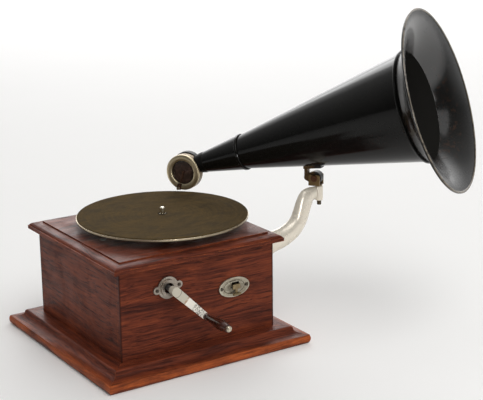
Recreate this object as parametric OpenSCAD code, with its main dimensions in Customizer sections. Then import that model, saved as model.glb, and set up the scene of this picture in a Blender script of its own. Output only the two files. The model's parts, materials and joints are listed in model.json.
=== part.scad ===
// Front-mount disc gramophone: oak case with a spring motor, turntable, and a horn on a curved arm.
// The crank side is -Y and the horn arm is on the +X side. The origin is the centre of the underside.

/* [Plinth] */
// Distance that the plinth stands out from the case
plinth_out = 40; // [32:0.5:50]
// Height of the plinth
base_h = 24.6; // [22:0.2:30]
// Width of the hollow part of the plinth moulding
cove_w = 17; // [13:1:19]

/* [Case] */
// Outside width of the square case
case_w = 252; // [246:1:262]
// Height of the panels
panel_h = 130; // [126:1:150]
// Thickness of the panels
panel_t = 9; // [7:0.5:10]
// Thickness of the bottom board
bottom_t = 10; // [8:0.5:12]
// Width of the corner blocks, measured from the inside of the panels
block_w = 14; // [12:1:18]

/* [Top board] */
// Width of the top board
top_w = 276; // [270:1:286]
// Width of the raised field of the top board
field_w = 242.4; // [232:0.2:248]
// Thickness of the board's nosing
nosing_h = 5.1; // [4:0.1:6]
// Height of the rounded moulding above the nosing
ovolo_h = 5.6; // [4:0.1:7]
// Height of the step up to the raised field
field_step = 2; // [1:0.1:3]

/* [Turntable] */
// Diameter of the turntable
table_d = 254; // [240:1:262]
// Place of the spindle along X
spindle_x = 16.2; // [12:0.2:20]
// Height of the felt's top above the top board
felt_rise = 16.9; // [16:0.1:20]
// Thickness of the felt
felt_t = 1.5; // [1:0.1:2]
// Height of the pan's rim
pan_rim_h = 3.7; // [3:0.1:6]
// Diameter of the record pin on top of the spindle
pin_d = 7.2; // [6.8:0.1:7.3]
// Height of the record pin above the felt
pin_h = 10; // [8:0.5:14]

/* [Crank] */
// Place of the crank along X
crank_x = -51; // [-56:1:-48]
// Height of the crank's axis
crank_z = 119.5; // [117:0.5:122]
// Diameter of the winding shaft
crank_shaft_d = 8; // [7:0.2:9]
// How far the crank arm stands off the front
crank_reach = 21.5; // [18:0.5:30]
// Distance from the shaft to the handle
crank_throw = 65.7; // [58:1:72]
// Angle of the crank below the horizontal
crank_angle = 44.4; // [30:1:60]
// Width of the crank arm
crank_arm_w = 13; // [11:0.5:15]
// Thickness of the crank arm
crank_arm_t = 3; // [2:0.1:4]
// Length of the wooden grip
grip_l = 56; // [48:1:64]
// Largest diameter of the grip
grip_d = 15.4; // [13:0.2:17]
// Diameter of the crank collar
collar_d = 32; // [30:0.5:36]
// Distance between the collar's two screws
collar_screws = 35; // [34:0.5:38]

/* [Control plate] */
// Place of the plate along X
plate_x = 57.7; // [50:0.1:62]
// Height of the plate's centre
plate_z = 98.1; // [94:0.1:102]
// Width of the oval plate
plate_w = 51; // [48:1:56]
// Height of the oval plate
plate_h = 29; // [26:1:34]
// Swing of the brake lever to each side
brake_swing = 10; // [6:1:10]

/* [Horn arm] */
// Distance of the swivel boss's top below the horn's axis
boss_drop = 81.4; // [80.4:0.2:86.4]
// Distance from the side of the case out to the swivel
swivel_out = 113; // [109:1:119]
// Distance of the swivel behind the front of the case
swivel_in = 40; // [36:1:46]
// Height of the swivel boss
boss_h = 23.3; // [18:0.1:24]
// Diameter of the swivel boss
boss_d = 11.6; // [9.8:0.2:12]
// Diameter of the swivel pin
swivel_pin_d = 6.4; // [5:0.2:6.4]

/* [Horn] */
// Direction of the horn's mouth, seen from above
horn_az = -56.8; // [-62:0.2:-52]
// Rise of the horn
horn_el = 18.28; // [17.4:0.02:19]
// Height of the elbow's middle above the sound box's
elbow_rise = 5.665; // [4:0.005:7]
// Distance from the swivel to the mouth's rim, along the horn
mouth_s = 194.3; // [188:0.1:204]
// Radius of the mouth
mouth_r = 135.65; // [125:0.05:140]
// Distance from the swivel to the bead, along the horn
bead_s = 156.4; // [148:0.1:160]
// Radius of the cone at the bead
bead_r = 81.1; // [78:0.1:83]
// Distance from the swivel back to the sleeve's ring, along the horn
sleeve_s = 127.8; // [120:0.1:134]
// Radius of the sleeve's ring
sleeve_r = 28; // [27:0.1:30]
// Distance from the elbow's axis to the sleeve's small end, along the horn
neck_gap = 36.2; // [35:0.1:38]
// Radius of the sleeve's small end
neck_r = 16.3; // [14:0.1:18]
// Thickness of the horn's sheet metal
sheet_t = 0.7; // [0.6:0.1:1]

/* [Sound box] */
// Diameter of the sound box
box_d = 56; // [52:1:58]
// Thickness of the sound box
box_t = 16; // [15:0.5:20]
// Distance from the swivel to the sound box, level
box_reach = 220.5; // [218:0.5:224]
// Height of the sound box's centre above the felt
box_rise = 29.7; // [29:0.1:32]
// Turn of the needle away from upright
needle_lean = 15; // [5:1:20]
// Diameter of the bezel's opening
bezel_open = 37.4; // [30:0.2:40]
// Thickness of the diaphragm
mica_t = 0.3; // [0.2:0.05:0.4]

/* [Motor] */
// Place of the spring barrel along Y
barrel_y = -20; // [-24:1:-16]
// Height of the barrel drum
barrel_h = 25; // [20:1:26]
// Thickness of the motor plates
plate_t = 3; // [2.5:0.1:4]
// Distance between the motor plates
plates_gap = 78; // [76:1:80]
// Gap between the top board and the motor's top plate
mount_gap = 8.6; // [6:0.1:10]
// Module of the barrel gear
barrel_mod = 1; // [0.96:0.01:1.02]
// Module of the fine gears
fine_mod = 0.8; // [0.78:0.01:0.82]
// Diameter of the brake disc
disc_d = 32; // [26:1:33]

/* [Fits] */
// Gap between a shaft and its bearing
run_gap = 0.05; // [0.02:0.01:0.09]
// Gap between pieces that are screwed or glued together
fit_gap = 0.1; // [0.05:0.05:0.3]
// Gap between pieces that pass each other
pass_gap = 0.3; // [0.3:0.05:0.5]
// Extra distance between the centres of meshing gears
mesh_gap = 0.3; // [0.2:0.05:0.4]

/* [Hidden] */
$fn = 64;
eps = 0.01;

oak = "saddlebrown";
brass = "goldenrod";
nickel = "silver";
steel = "slategray";
japan = [0.08, 0.08, 0.08];

// Plinth moulding, from the flat ledge outward
round_w = 3.6;
round_h = 4.7;
cove_h = 6.8;
nose_bulge = 1.6;
nose_foot = 1.2;
mitre_gap = 0.1;
plinth_lap = 3;
base_w = case_w + 2 * plinth_out;
nose_x = base_w / 2 - nose_bulge;
ledge_x = nose_x - cove_w - round_w;
round_z = base_h - round_h;
cove_z = round_z - cove_h;
arc_steps = 8;

// Case
case_x = case_w / 2;
swivel_x = case_x + swivel_out;
swivel_y = -case_x + swivel_in;
inner_x = case_x - panel_t;
plinth_in = inner_x - plinth_lap;
panel_top = base_h + panel_h;
block_x = inner_x - block_w;
post_x = (block_x + plinth_in) / 2;
crank_hole_r = 9;
lever_hole_w = 20;
lever_hole_h = 8;

// Top board
top_x = top_w / 2;
field_x = field_w / 2;
fillet_w = 1.5;
ovolo_z = panel_top + nosing_h;
step_z = ovolo_z + ovolo_h;
board_top = step_z + field_step;
spindle_hole_r = 7;

// Wood screws and small screws
wood_screw_r = 2;
wood_screw_l = 13;
wood_head_r = 4;
wood_head_h = 2.2;
small_screw_r = 1.3;
small_screw_l = 7;
small_head_r = 2.6;
small_head_h = 1.5;
slot_share = 0.22;
front_y = -case_x;

// Turntable
table_r = table_d / 2;
felt_top = board_top + felt_rise;
pan_top = felt_top - felt_t;
pan_t = 1.5;
felt_inset = 1.2;
pin_r = pin_d / 2;
pin_point_h = 1.5;
pin_point_in = 1.3;
hub_r = 12;
hub_h = 9;
hub_top = pan_top - pan_t;
hub_seat_r = 6;
hub_seat_h = 3;
spindle_r = 4;
spindle_xy = [spindle_x, 0];

// Motor levels, from the top board down
top_plate_z = panel_top - mount_gap - plate_t;
bottom_plate_top = top_plate_z - plates_gap;
bottom_plate_z = bottom_plate_top - plate_t;
barrel_rise = 5;
wheel_rise = 5;
drive_rise = 22;
barrel_base_z = bottom_plate_top + barrel_rise;
barrel_gear_h = 3;
drum_z = barrel_base_z + barrel_gear_h;
cover_t = 2;
cover_z = drum_z + barrel_h;
wheel_z = cover_z + wheel_rise;
drive_z = wheel_z + drive_rise;
fine_h = 3;

// Gears. A pair is named by its driver and its follower
barrel_teeth = 80;
inter_pinion_teeth = 16;
inter_wheel_teeth = 60;
spindle_pinion_teeth = 15;
drive_teeth = 64;
governor_teeth = 10;
barrel_xy = [crank_x, barrel_y];
barrel_inter_d = (barrel_teeth + inter_pinion_teeth) * barrel_mod / 2 + mesh_gap;
inter_spindle_d = (inter_wheel_teeth + spindle_pinion_teeth) * fine_mod / 2 + mesh_gap;
drive_governor_d = (drive_teeth + governor_teeth) * fine_mod / 2 + mesh_gap;
governor_dir = -35;
inter_xy = third_corner(barrel_xy, spindle_xy, barrel_inter_d, inter_spindle_d);
governor_xy = spindle_xy + drive_governor_d * [cos(governor_dir), sin(governor_dir)];
barrel_inter_dir = dir_of(inter_xy - barrel_xy);
inter_spindle_dir = dir_of(spindle_xy - inter_xy);

// Barrel
drum_wall = 2;
drum_inset = 2.2;
drum_r = barrel_teeth * barrel_mod / 2 - drum_inset;
drum_in = drum_r - drum_wall;
arbor_r = 4;
arbor_hub_r = 8;
spring_t = 0.6;
spring_turns = 8;
spring_inner_gap = 1.4;
spring_outer_gap = 0.25;
spring_r0 = arbor_hub_r + spring_inner_gap;
spring_r1 = drum_in - spring_t - spring_outer_gap;

// Bevel pair: pitch radii, cone distance and tooth blocks
bevel_pinion_teeth = 16;
bevel_wheel_teeth = 32;
bevel_pinion_r = 10;
bevel_wheel_r = bevel_pinion_r * bevel_wheel_teeth / bevel_pinion_teeth;
bevel_cone = norm([bevel_pinion_r, bevel_wheel_r]);
bevel_face = 5;
bevel_tooth_w = 1;
bevel_tooth_top = 0.6;
bevel_tooth_root = 0.9;
bevel_tooth_sink = 0.3;
bevel_body_t = 3;
bevel_hub_h = 1;

// Ratchet and click
ratchet_teeth = 16;
ratchet_r = 12;
ratchet_depth = 2;
ratchet_t = 3;
ratchet_drop = 3.5;
ratchet_z = top_plate_z - ratchet_drop - ratchet_t;
click_dir = 135;
click_d = 20;
click_stud_r = 1.8;
click_hub_r = 3.8;
click_w = 2.4;
click_xy = barrel_xy + click_d * [cos(click_dir), sin(click_dir)];

// Footstep bearing
footstep_r = 9;
footstep_h = 9;
footstep_wall = 3;
ball_r = 2.4;
footstep_floor = bottom_plate_z - footstep_h + footstep_wall;

// Intermediate and governor shafts
inter_shaft_r = 2.5;
governor_shaft_r = 1.8;
end_play = 0.3;
collar_r = 5;
collar_h = 4;
disc_t = 2;
lever_z = plate_z + 3.9;
disc_z = lever_z - disc_t / 2;
disc_hub_h = 5;
weight_r = 5.5;
weight_orbit = 12;
weight_h = 9;
leaf_t = 0.5;
leaf_w = 5;
governor_rise = 2;
leaf_lap = 1.5;
leaf_in = 2;
governor_low = bottom_plate_top + governor_rise;
leaf_z0 = governor_low + collar_h - leaf_lap;
leaf_z1 = disc_z - disc_hub_h + leaf_lap;
weight_z = (leaf_z0 + leaf_z1) / 2 - weight_h / 2;
leaf_x0 = collar_r;
leaf_x1 = weight_orbit + weight_r - leaf_in;

// Motor plates, pillars and bolts
left_edge = 47;
right_edge = 15.5;
front_edge = 46;
plate_left = crank_x - left_edge;
plate_right = governor_xy[0] + right_edge;
plate_front = barrel_y - front_edge;
plate_back = 36;
pillar_inset = 7;
pillar_r = 4;
pillar_end_r = 2.4;
nut_r = 5.2;
nut_h = 3;
bolt_r = 2.4;
bolt_head_r = 5;
bolt_head_h = 2.4;
spacer_r = 6;
pillar_spots = [for (x = [plate_left + pillar_inset, plate_right - pillar_inset],
    y = [plate_front + pillar_inset, plate_back - pillar_inset]) [x, y]];
bolt_shift = [4, 5];
bolt_spots = [[plate_left + pillar_inset, barrel_y + bolt_shift[1]],
    [spindle_x + bolt_shift[0], plate_front + pillar_inset],
    [spindle_x + bolt_shift[0], plate_back - pillar_inset]];

// Winding shaft, seen along Y
bevel_y = barrel_y - bevel_wheel_r;
bearing_t = 10;
bearing_w = 20;
bearing_ahead = 22;
bearing_y = bevel_y - bearing_ahead;
shaft_past = 6;
shaft_collar_r = 7;
shaft_collar_t = 3;
crank_r = crank_shaft_d / 2;
arm_y = front_y - crank_reach;
crank_hub_r = 6;
crank_hub_h = 7;
pin_stem_r = 2.2;
pin_cap_r = 4.2;
pin_cap_h = 5;
pin_head_h = 1;
grip_y = arm_y - crank_arm_t - pass_gap;
cap_y = grip_y - grip_l - pass_gap;
handle_x = crank_x + crank_throw * cos(crank_angle);
handle_z = crank_z - crank_throw * sin(crank_angle);

// Crank collar
collar_t = 3;
collar_ring_r = 12;
collar_ring_h = 3;
collar_bore_r = 7.5;
ear_r = 5.5;
collar_lean = 5;
ear_x = collar_screws / 2;

// Control plate and brake lever
plate_metal = 1.6;
plate_lip = 0.9;
lip_w = 1.8;
plate_screw_x = 21;
slot_dx = 1.8;
lever_x = plate_x + slot_dx;
lever_t = 1.6;
lever_w = 3.6;
slot_low = 1.2;
slot_h = 4.8;
pivot_in = 22;
lever_pivot_y = front_y + pivot_in;
lever_out = 3.2;
slot_spare = 0.9;
slot_w = 2 * ((pivot_in + plate_metal + plate_lip) * sin(brake_swing) + lever_w / 2) + slot_spare;
lever_front = front_y - plate_metal - plate_lip - lever_out;
tab_w = 12;
tab_drop = 7;
knob_r = 2.1;
knob_l = 12;
knob_drop = 13.6;
knob_ahead = 0.6;
lever_hub_r = 5;
lever_post_r = 2;
inner_arm_w = 4;
pad_t = 4;
pad_l = 8;
pad_h = 5;
pivot_xy = [lever_x, lever_pivot_y];
brake_d = norm(governor_xy - pivot_xy);
brake_contact = asin((disc_d / 2 + pass_gap + pad_t + inner_arm_w / 2) / brake_d);
brake_dir = dir_of(governor_xy - pivot_xy) - brake_contact - brake_swing;
pad_along = brake_d * cos(brake_contact);
bracket_t = 2;
bracket_w = 22;
bracket_drop = 14;
bracket_post_top = lever_z + lever_t / 2 + 2.5;

// Horn arm: middle of its path in the plane of the swivel, half height and half width at each point
foot_t = 6;
foot_w = 46;
foot_h = 48;
foot_drop = 29;
foot_z = panel_top - foot_drop;
foot_screw_w = 32;
foot_screw_h = 36;
box_z = felt_top + box_rise;
drum_axis_z = box_z + elbow_rise;
horn_z = drum_axis_z + box_reach * tan(horn_el);
boss_top = horn_z - boss_drop;
boss_low = boss_top - boss_h;
arm_path = [
    [case_x + foot_t - 1, foot_z + 5], [case_x + 14, foot_z + 7], [swivel_x - 84, boss_low - 50],
    [swivel_x - 67, boss_low - 46], [swivel_x - 50, boss_low - 37.5], [swivel_x - 39, boss_low - 26],
    [swivel_x - 33, boss_low - 12.5], [swivel_x - 28.4, boss_low - 0.5], [swivel_x - 22.5, boss_low + 9],
    [swivel_x - 13, boss_low + 12.2], [swivel_x - 4.2, boss_low + 12]];
arm_half = [
    [17, 13], [16.5, 12.5], [16.2, 12], [15.7, 11.5], [15, 11], [14, 10.3],
    [14, 9.5], [14, 8.6], [13.8, 7.4], [10.6, 5.6], [10.4, 3.6]];
arm_between = 3;
arm_sides = 20;

// Swivel and tilt
swivel_pin_r = swivel_pin_d / 2;
swivel_pin_out = 6.6;
swivel_pin_low = boss_low - swivel_pin_out;
fork_base_h = 1.2;
fork_z = boss_top + pass_gap;
tilt_back = 5;
cheek_t = 3;
cheek_w = 17.6;
cheek_up = 5.4;
cheek_round = 3;
knuckle_half = 6;
knuckle_r = 10;
lobe_r = 5;
lobe_x = 12;
stem_w = 5;
stem_l = 10;
saddle_l = 28;
saddle_back = 3.5;
saddle_w = 16;
saddle_t = 4;
tilt_z = fork_z + fork_base_h + knuckle_r + pass_gap;
cheek_in = knuckle_half + pass_gap;
tilt_pin_r = 2.5;
tilt_head_r = 5.4;
tilt_head_h = 2;

// Horn stations along its axis, measured from the swivel
bead_wire_r = 2;
rim_wire_r = 2;
bell_turn = [27, 81];
bell_steps = 12;
bell_s0 = bead_s + bead_wire_r;
bell_s1 = mouth_s - rim_wire_r;
bell_r0 = bead_r;
bell_r1 = mouth_r - rim_wire_r;
sleeve_t = 1.4;
sleeve_ring_w = 4;
cone_lap = 12;
cone_slope = (bead_r - (sleeve_r - 1.6)) / (bead_s + sleeve_s);
function cone_at(s) = bead_r - (bead_s - s) * cone_slope;

// Elbow and sound box
drum_s = box_reach / cos(horn_el);
neck_s = drum_s - neck_gap;
sleeve_slope = (sleeve_r - neck_r) / (neck_s - sleeve_s);
box_r = box_d / 2;
box_front = box_t + 1;
elbow_r = 24;
elbow_wall = 2.5;
throat_r = neck_r - sleeve_slope * (drum_s - neck_s);
elbow_back = 16;
elbow_front = 0.7;
elbow_round = 7;
stub_r = 9;
stub_bore = 6.5;
stub_l = 6;
box_back = elbow_front + pass_gap;
box_wall = 2.6;
bezel_t = 4;
bezel_z = box_front - bezel_t;
gasket_t = 1;
gasket_w = 3.5;
mica_r = box_r - box_wall - 0.6;
mica_z = bezel_z - gasket_t - mica_t;
gasket_z = mica_z - gasket_t;
ledge_r = mica_r - gasket_w;

// Stylus bar and needle, seen along the sound box's axis
needle_reach = (box_rise - pass_gap) / cos(needle_lean);
notch_w = 7.6;
stylus_w = 6.4;
stylus_top = box_r - 7;
stylus_end = box_r + 0.6;
stylus_pivot = box_r - 5.6;
stylus_pivot_r = 0.8;
stylus_pivot_l = 1.6;
stylus_pivot_z = bezel_z + 1.6;
stylus_z0 = mica_z + mica_t + 0.5;
stylus_z1 = box_front;
bar_w = 2;
bar_t = 1.4;
bar_z = stylus_z0 + 0.4;
bar_end_r = 2;
needle_r = 0.75;
needle_z = box_front - 2;
needle_top = box_r - 4;
needle_tip_l = 2.5;
needle_tip_r = 0.15;
clamp_r = 1.1;
clamp_y = box_r - 1.6;
clamp_head_r = 2.3;
clamp_head_h = 3;
clamp_grip = 0.6;

function dir_of(v) = atan2(v[1], v[0]);
function third_corner(a, b, da, db) =
    let (c = norm(b - a), u = (b - a) / c, along = (da * da - db * db + c * c) / (2 * c),
        side = sqrt(da * da - along * along))
    a + along * u + side * [-u[1], u[0]];
function arc(centre, rx, ry, from, to, steps = arc_steps) =
    [for (i = [0 : steps]) let (a = from + (to - from) * i / steps) centre + [rx * cos(a), ry * sin(a)]];
function polar(r, a) = [r * cos(a), r * sin(a)];

module tube(r, bore, h) {
    difference() {
        cylinder(r = r, h = h);
        translate([0, 0, -1]) cylinder(r = bore, h = h + 2);
    }
}

module along_y(x, y, z) {
    translate([x, y, z]) rotate([90, 0, 0]) children();
}

module slotted_screw(r, l, head_r, head_h) {
    translate([0, 0, -l]) cylinder(r = r, h = l + eps);
    difference() {
        cylinder(r1 = head_r, r2 = head_r * 0.8, h = head_h);
        translate([-head_r, -head_r * slot_share / 2, head_h * 0.5])
            cube([2 * head_r, head_r * slot_share, head_h]);
    }
}

module nut() {
    cylinder(r = nut_r, h = nut_h, $fn = 6);
}

// A square run of moulding: the profile's x is the distance from the middle
module square_run(half) {
    intersection() {
        rotate([90, 0, 0]) linear_extrude(height = 2 * half, center = true) children();
        rotate([90, 0, 90]) linear_extrude(height = 2 * half, center = true) children();
    }
}

// Case
function plinth_profile() = concat(
    [[plinth_in, 0], [plinth_in, base_h]],
    arc([ledge_x, round_z], round_w, round_h, 90, 0),
    arc([nose_x, round_z], cove_w, cove_h, 180, 270),
    [for (i = [1 : arc_steps]) let (t = i / arc_steps)
        [nose_x + nose_bulge * sin(180 * t), cove_z + (nose_foot - cove_z) * t]],
    [[nose_x - nose_foot, 0]]);

module plinth_mouldings() {
    color(oak) for (side = [0 : 3]) rotate([0, 0, 90 * side]) intersection() {
        rotate([90, 0, 0]) linear_extrude(height = base_w, center = true) polygon(plinth_profile());
        translate([mitre_gap, 0, 0]) linear_extrude(height = base_h)
            polygon([[0, 0], [base_w, -base_w], [base_w, base_w]]);
    }
}

module at_corners(d) {
    for (x = [-d, d], y = [-d, d]) translate([x, y, 0]) children();
}

module bottom_board() {
    board_x = plinth_in - fit_gap;
    color(oak) difference() {
        translate([-board_x, -board_x, 0]) cube([2 * board_x, 2 * board_x, bottom_t]);
        at_corners(post_x) {
            translate([0, 0, -1]) cylinder(r = wood_screw_r + fit_gap, h = bottom_t + 2);
            translate([0, 0, -1]) cylinder(r = wood_head_r + fit_gap, h = wood_head_h + 1);
        }
    }
}

module foot_screw_spots() {
    for (y = [-1, 1], z = [-1, 1])
        translate([case_x + foot_t, swivel_y + y * foot_screw_w / 2, foot_z + z * foot_screw_h / 2])
            rotate([0, 90, 0]) children();
}

module wood_screws() {
    color(steel) {
        at_corners(post_x) translate([0, 0, wood_head_h]) rotate([180, 0, 0])
            slotted_screw(wood_screw_r, wood_screw_l, wood_head_r, wood_head_h);
        foot_screw_spots() slotted_screw(wood_screw_r, wood_screw_l, wood_head_r, wood_head_h);
    }
}

module front_screw_spots() {
    for (side = [-1, 1]) {
        translate([crank_x + side * ear_x * cos(collar_lean), front_y - collar_t,
            crank_z + side * ear_x * sin(collar_lean)]) rotate([90, 0, 0]) children();
        along_y(plate_x + side * plate_screw_x, front_y - plate_metal, plate_z) children();
    }
}

module front_panel() {
    color(oak) difference() {
        translate([-case_x, front_y, base_h]) cube([case_w, panel_t, panel_h]);
        along_y(crank_x, front_y + panel_t + 1, crank_z) cylinder(r = crank_hole_r, h = panel_t + 2);
        translate([lever_x - lever_hole_w / 2, front_y - 1, lever_z - lever_hole_h / 2])
            cube([lever_hole_w, panel_t + 2, lever_hole_h]);
        front_screw_spots() translate([0, 0, -small_screw_l - fit_gap])
            cylinder(r = small_screw_r + fit_gap, h = small_screw_l + 1);
    }
}

module back_panel() {
    color(oak) translate([-case_x, inner_x, base_h]) cube([case_w, panel_t, panel_h]);
}

module side_panels() {
    color(oak) difference() {
        for (x = [-case_x, inner_x])
            translate([x, -inner_x, base_h]) cube([panel_t, 2 * inner_x, panel_h]);
        foot_screw_spots() translate([0, 0, -wood_screw_l - fit_gap])
            cylinder(r = wood_screw_r + fit_gap, h = wood_screw_l + 1);
    }
}

module corner_blocks() {
    color(oak) difference() {
        for (turn = [0 : 3]) rotate([0, 0, 90 * turn]) {
            translate([block_x, block_x, base_h]) cube([block_w, block_w, panel_h]);
            translate([block_x, block_x, bottom_t])
                cube([plinth_in - block_x, plinth_in - block_x, base_h - bottom_t + eps]);
        }
        at_corners(post_x) translate([0, 0, bottom_t - 1])
            cylinder(r = wood_screw_r + fit_gap, h = wood_screw_l + wood_head_h - bottom_t + 1 + fit_gap);
        foot_screw_spots() translate([0, 0, -wood_screw_l - fit_gap])
            cylinder(r = wood_screw_r + fit_gap, h = wood_screw_l + 1);
    }
}

function board_half() = concat(
    [[top_x, panel_top], [top_x, ovolo_z]],
    arc([field_x, ovolo_z], top_x - fillet_w - field_x, ovolo_h, 0, 90),
    [[field_x, board_top]]);

module top_board() {
    half = board_half();
    other = [for (i = [len(half) - 1 : -1 : 0]) [-half[i][0], half[i][1]]];
    color(oak) difference() {
        square_run(top_w) polygon(concat(half, other));
        translate([spindle_x, 0, panel_top - 1]) cylinder(r = spindle_hole_r, h = board_top);
        for (spot = bolt_spots) translate([spot[0], spot[1], panel_top - 1]) {
            cylinder(r = bolt_r + fit_gap, h = board_top);
            translate([0, 0, 1 + board_top - panel_top - bolt_head_h])
                cylinder(r = bolt_head_r + fit_gap, h = board_top);
        }
    }
}

module crank_escutcheon() {
    color(steel) along_y(crank_x, front_y, crank_z) rotate([0, 0, collar_lean]) difference() {
        union() {
            cylinder(r = collar_d / 2, h = collar_t);
            cylinder(r = collar_ring_r, h = collar_t + collar_ring_h);
            for (side = [-1, 1]) translate([side * ear_x, 0, 0]) cylinder(r = ear_r, h = collar_t);
        }
        translate([0, 0, -1]) cylinder(r = collar_bore_r, h = collar_t + collar_ring_h + 2);
        for (side = [-1, 1]) translate([side * ear_x, 0, -1])
            cylinder(r = small_screw_r + fit_gap, h = collar_t + 2);
    }
}

module front_screws() {
    color(nickel) front_screw_spots()
        slotted_screw(small_screw_r, small_screw_l, small_head_r, small_head_h);
}

module oval(w, h) {
    polygon(arc([0, 0], w / 2, h / 2, 0, 360 - 360 / 48, 47));
}

module control_plate() {
    color(nickel) along_y(plate_x, front_y, plate_z) difference() {
        linear_extrude(height = plate_metal + plate_lip) oval(plate_w, plate_h);
        difference() {
            translate([0, 0, plate_metal]) linear_extrude(height = plate_lip + 1)
                oval(plate_w - 2 * lip_w, plate_h - 2 * lip_w);
            linear_extrude(height = plate_metal + plate_lip)
                translate([slot_dx - slot_w / 2 - lip_w, lever_z - plate_z - slot_low - lip_w])
                square([slot_w + 2 * lip_w, slot_h + 2 * lip_w]);
        }
        translate([slot_dx - slot_w / 2, lever_z - plate_z - slot_low, -1])
            cube([slot_w, slot_h, plate_metal + plate_lip + 2]);
        for (side = [-1, 1]) translate([side * plate_screw_x, 0, -1])
            cylinder(r = small_screw_r + fit_gap, h = plate_metal + 2);
    }
}

// The arm is swept through smoothed points: a ring of arm_sides points at each
function smooth(p, i, t) =
    let (a = p[max(i - 1, 0)], b = p[i], c = p[i + 1], d = p[min(i + 2, len(p) - 1)])
    0.5 * (2 * b + (c - a) * t + (2 * a - 5 * b + 4 * c - d) * t * t + (3 * b - a - 3 * c + d) * t * t * t);
function smooth_all(p) = [for (i = [0 : len(p) - 2], k = [0 : arm_between - 1]) smooth(p, i, k / arm_between),
    p[len(p) - 1]];

module arm_sweep() {
    path = smooth_all(arm_path);
    half = smooth_all(arm_half);
    last = len(path) - 1;
    rings = [for (i = [0 : last])
        let (ahead = path[min(i + 1, last)] - path[max(i - 1, 0)], up = [-ahead[1], ahead[0]] / norm(ahead))
        for (k = [0 : arm_sides - 1]) let (a = 360 * k / arm_sides, rise = half[i][0] * cos(a))
            [path[i][0] + up[0] * rise, swivel_y + half[i][1] * sin(a), path[i][1] + up[1] * rise]];
    sides = [for (i = [0 : last - 1], k = [0 : arm_sides - 1])
        let (n = (k + 1) % arm_sides, a = i * arm_sides)
        [a + k, a + n, a + n + arm_sides, a + k + arm_sides]];
    ends = [[for (k = [arm_sides - 1 : -1 : 0]) k], [for (k = [0 : arm_sides - 1]) last * arm_sides + k]];
    polyhedron(points = rings, faces = concat(sides, ends));
}

module horn_arm() {
    color([0.78, 0.74, 0.65]) difference() {
        union() {
            arm_sweep();
            translate([case_x, swivel_y - foot_w / 2, foot_z - foot_h / 2]) cube([foot_t, foot_w, foot_h]);
            translate([swivel_x, swivel_y, boss_low]) cylinder(r = boss_d / 2, h = boss_h);
        }
        translate([swivel_x, swivel_y, boss_low - 1])
            cylinder(r = swivel_pin_r + run_gap, h = boss_h + 2);
        foot_screw_spots() translate([0, 0, -foot_t - 1])
            cylinder(r = wood_screw_r + fit_gap, h = foot_t + 2);
    }
}

// Motor frame
module at_spots(spots, z) {
    for (spot = spots) translate([spot[0], spot[1], z]) children();
}

module motor_bolts() {
    bolt_low = top_plate_z - nut_h - 1;
    color(steel) at_spots(bolt_spots, bolt_low) {
        cylinder(r = bolt_r, h = board_top - bolt_low - bolt_head_h + eps);
        translate([0, 0, board_top - bolt_low - bolt_head_h]) difference() {
            cylinder(r = bolt_head_r, h = bolt_head_h - fit_gap);
            translate([-bolt_head_r, -0.6, bolt_head_h / 2]) cube([2 * bolt_head_r, 1.2, bolt_head_h]);
        }
    }
}

module motor_nuts() {
    color(steel) {
        difference() {
            at_spots(bolt_spots, top_plate_z - nut_h) nut();
            at_spots(bolt_spots, 0) cylinder(r = bolt_r + run_gap, h = board_top);
        }
        difference() {
            union() {
                at_spots(pillar_spots, top_plate_z + plate_t) nut();
                at_spots(pillar_spots, bottom_plate_z - nut_h) nut();
            }
            at_spots(pillar_spots, 0) cylinder(r = pillar_end_r + run_gap, h = board_top);
        }
    }
}

module motor_spacers() {
    color(steel) at_spots(bolt_spots, top_plate_z + plate_t) tube(spacer_r, bolt_r + fit_gap, mount_gap);
}

module shaft_hole(xy, r) {
    translate([xy[0], xy[1], -1]) cylinder(r = r + run_gap, h = plate_t + 2);
}

module motor_plate() {
    difference() {
        translate([plate_left, plate_front, 0])
            cube([plate_right - plate_left, plate_back - plate_front, plate_t]);
        for (spot = pillar_spots) shaft_hole(spot, pillar_end_r);
        shaft_hole(barrel_xy, arbor_r);
        shaft_hole(spindle_xy, spindle_r);
        shaft_hole(inter_xy, inter_shaft_r);
        shaft_hole(governor_xy, governor_shaft_r);
    }
}

module motor_top_plate() {
    color(brass) translate([0, 0, top_plate_z]) {
        difference() {
            motor_plate();
            for (spot = bolt_spots) shaft_hole(spot, bolt_r);
        }
        translate([click_xy[0], click_xy[1], ratchet_z - top_plate_z - 1.5])
            cylinder(r = click_stud_r, h = top_plate_z - ratchet_z + 1.5 + eps);
    }
}

module motor_bottom_plate() {
    color(brass) translate([0, 0, bottom_plate_z]) motor_plate();
}

module motor_pillars() {
    color(steel) at_spots(pillar_spots, bottom_plate_z - nut_h) {
        cylinder(r = pillar_end_r, h = plates_gap + 2 * (plate_t + nut_h));
        translate([0, 0, plate_t + nut_h]) cylinder(r = pillar_r, h = plates_gap);
    }
}

module winding_bearing() {
    color(steel) difference() {
        translate([crank_x - bearing_w / 2, bearing_y, crank_z - bearing_w / 2])
            cube([bearing_w, bearing_t, top_plate_z - crank_z + bearing_w / 2]);
        along_y(crank_x, bearing_y + bearing_t + 1, crank_z)
            cylinder(r = crank_r + run_gap, h = bearing_t + 2);
    }
}

module footstep_bearing() {
    color(steel) translate([spindle_x, 0, 0]) {
        difference() {
            translate([0, 0, bottom_plate_z - footstep_h]) cylinder(r = footstep_r, h = footstep_h);
            translate([0, 0, footstep_floor]) cylinder(r = spindle_r + run_gap, h = footstep_h);
        }
        translate([0, 0, footstep_floor + ball_r + run_gap]) sphere(r = ball_r);
    }
}

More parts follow.
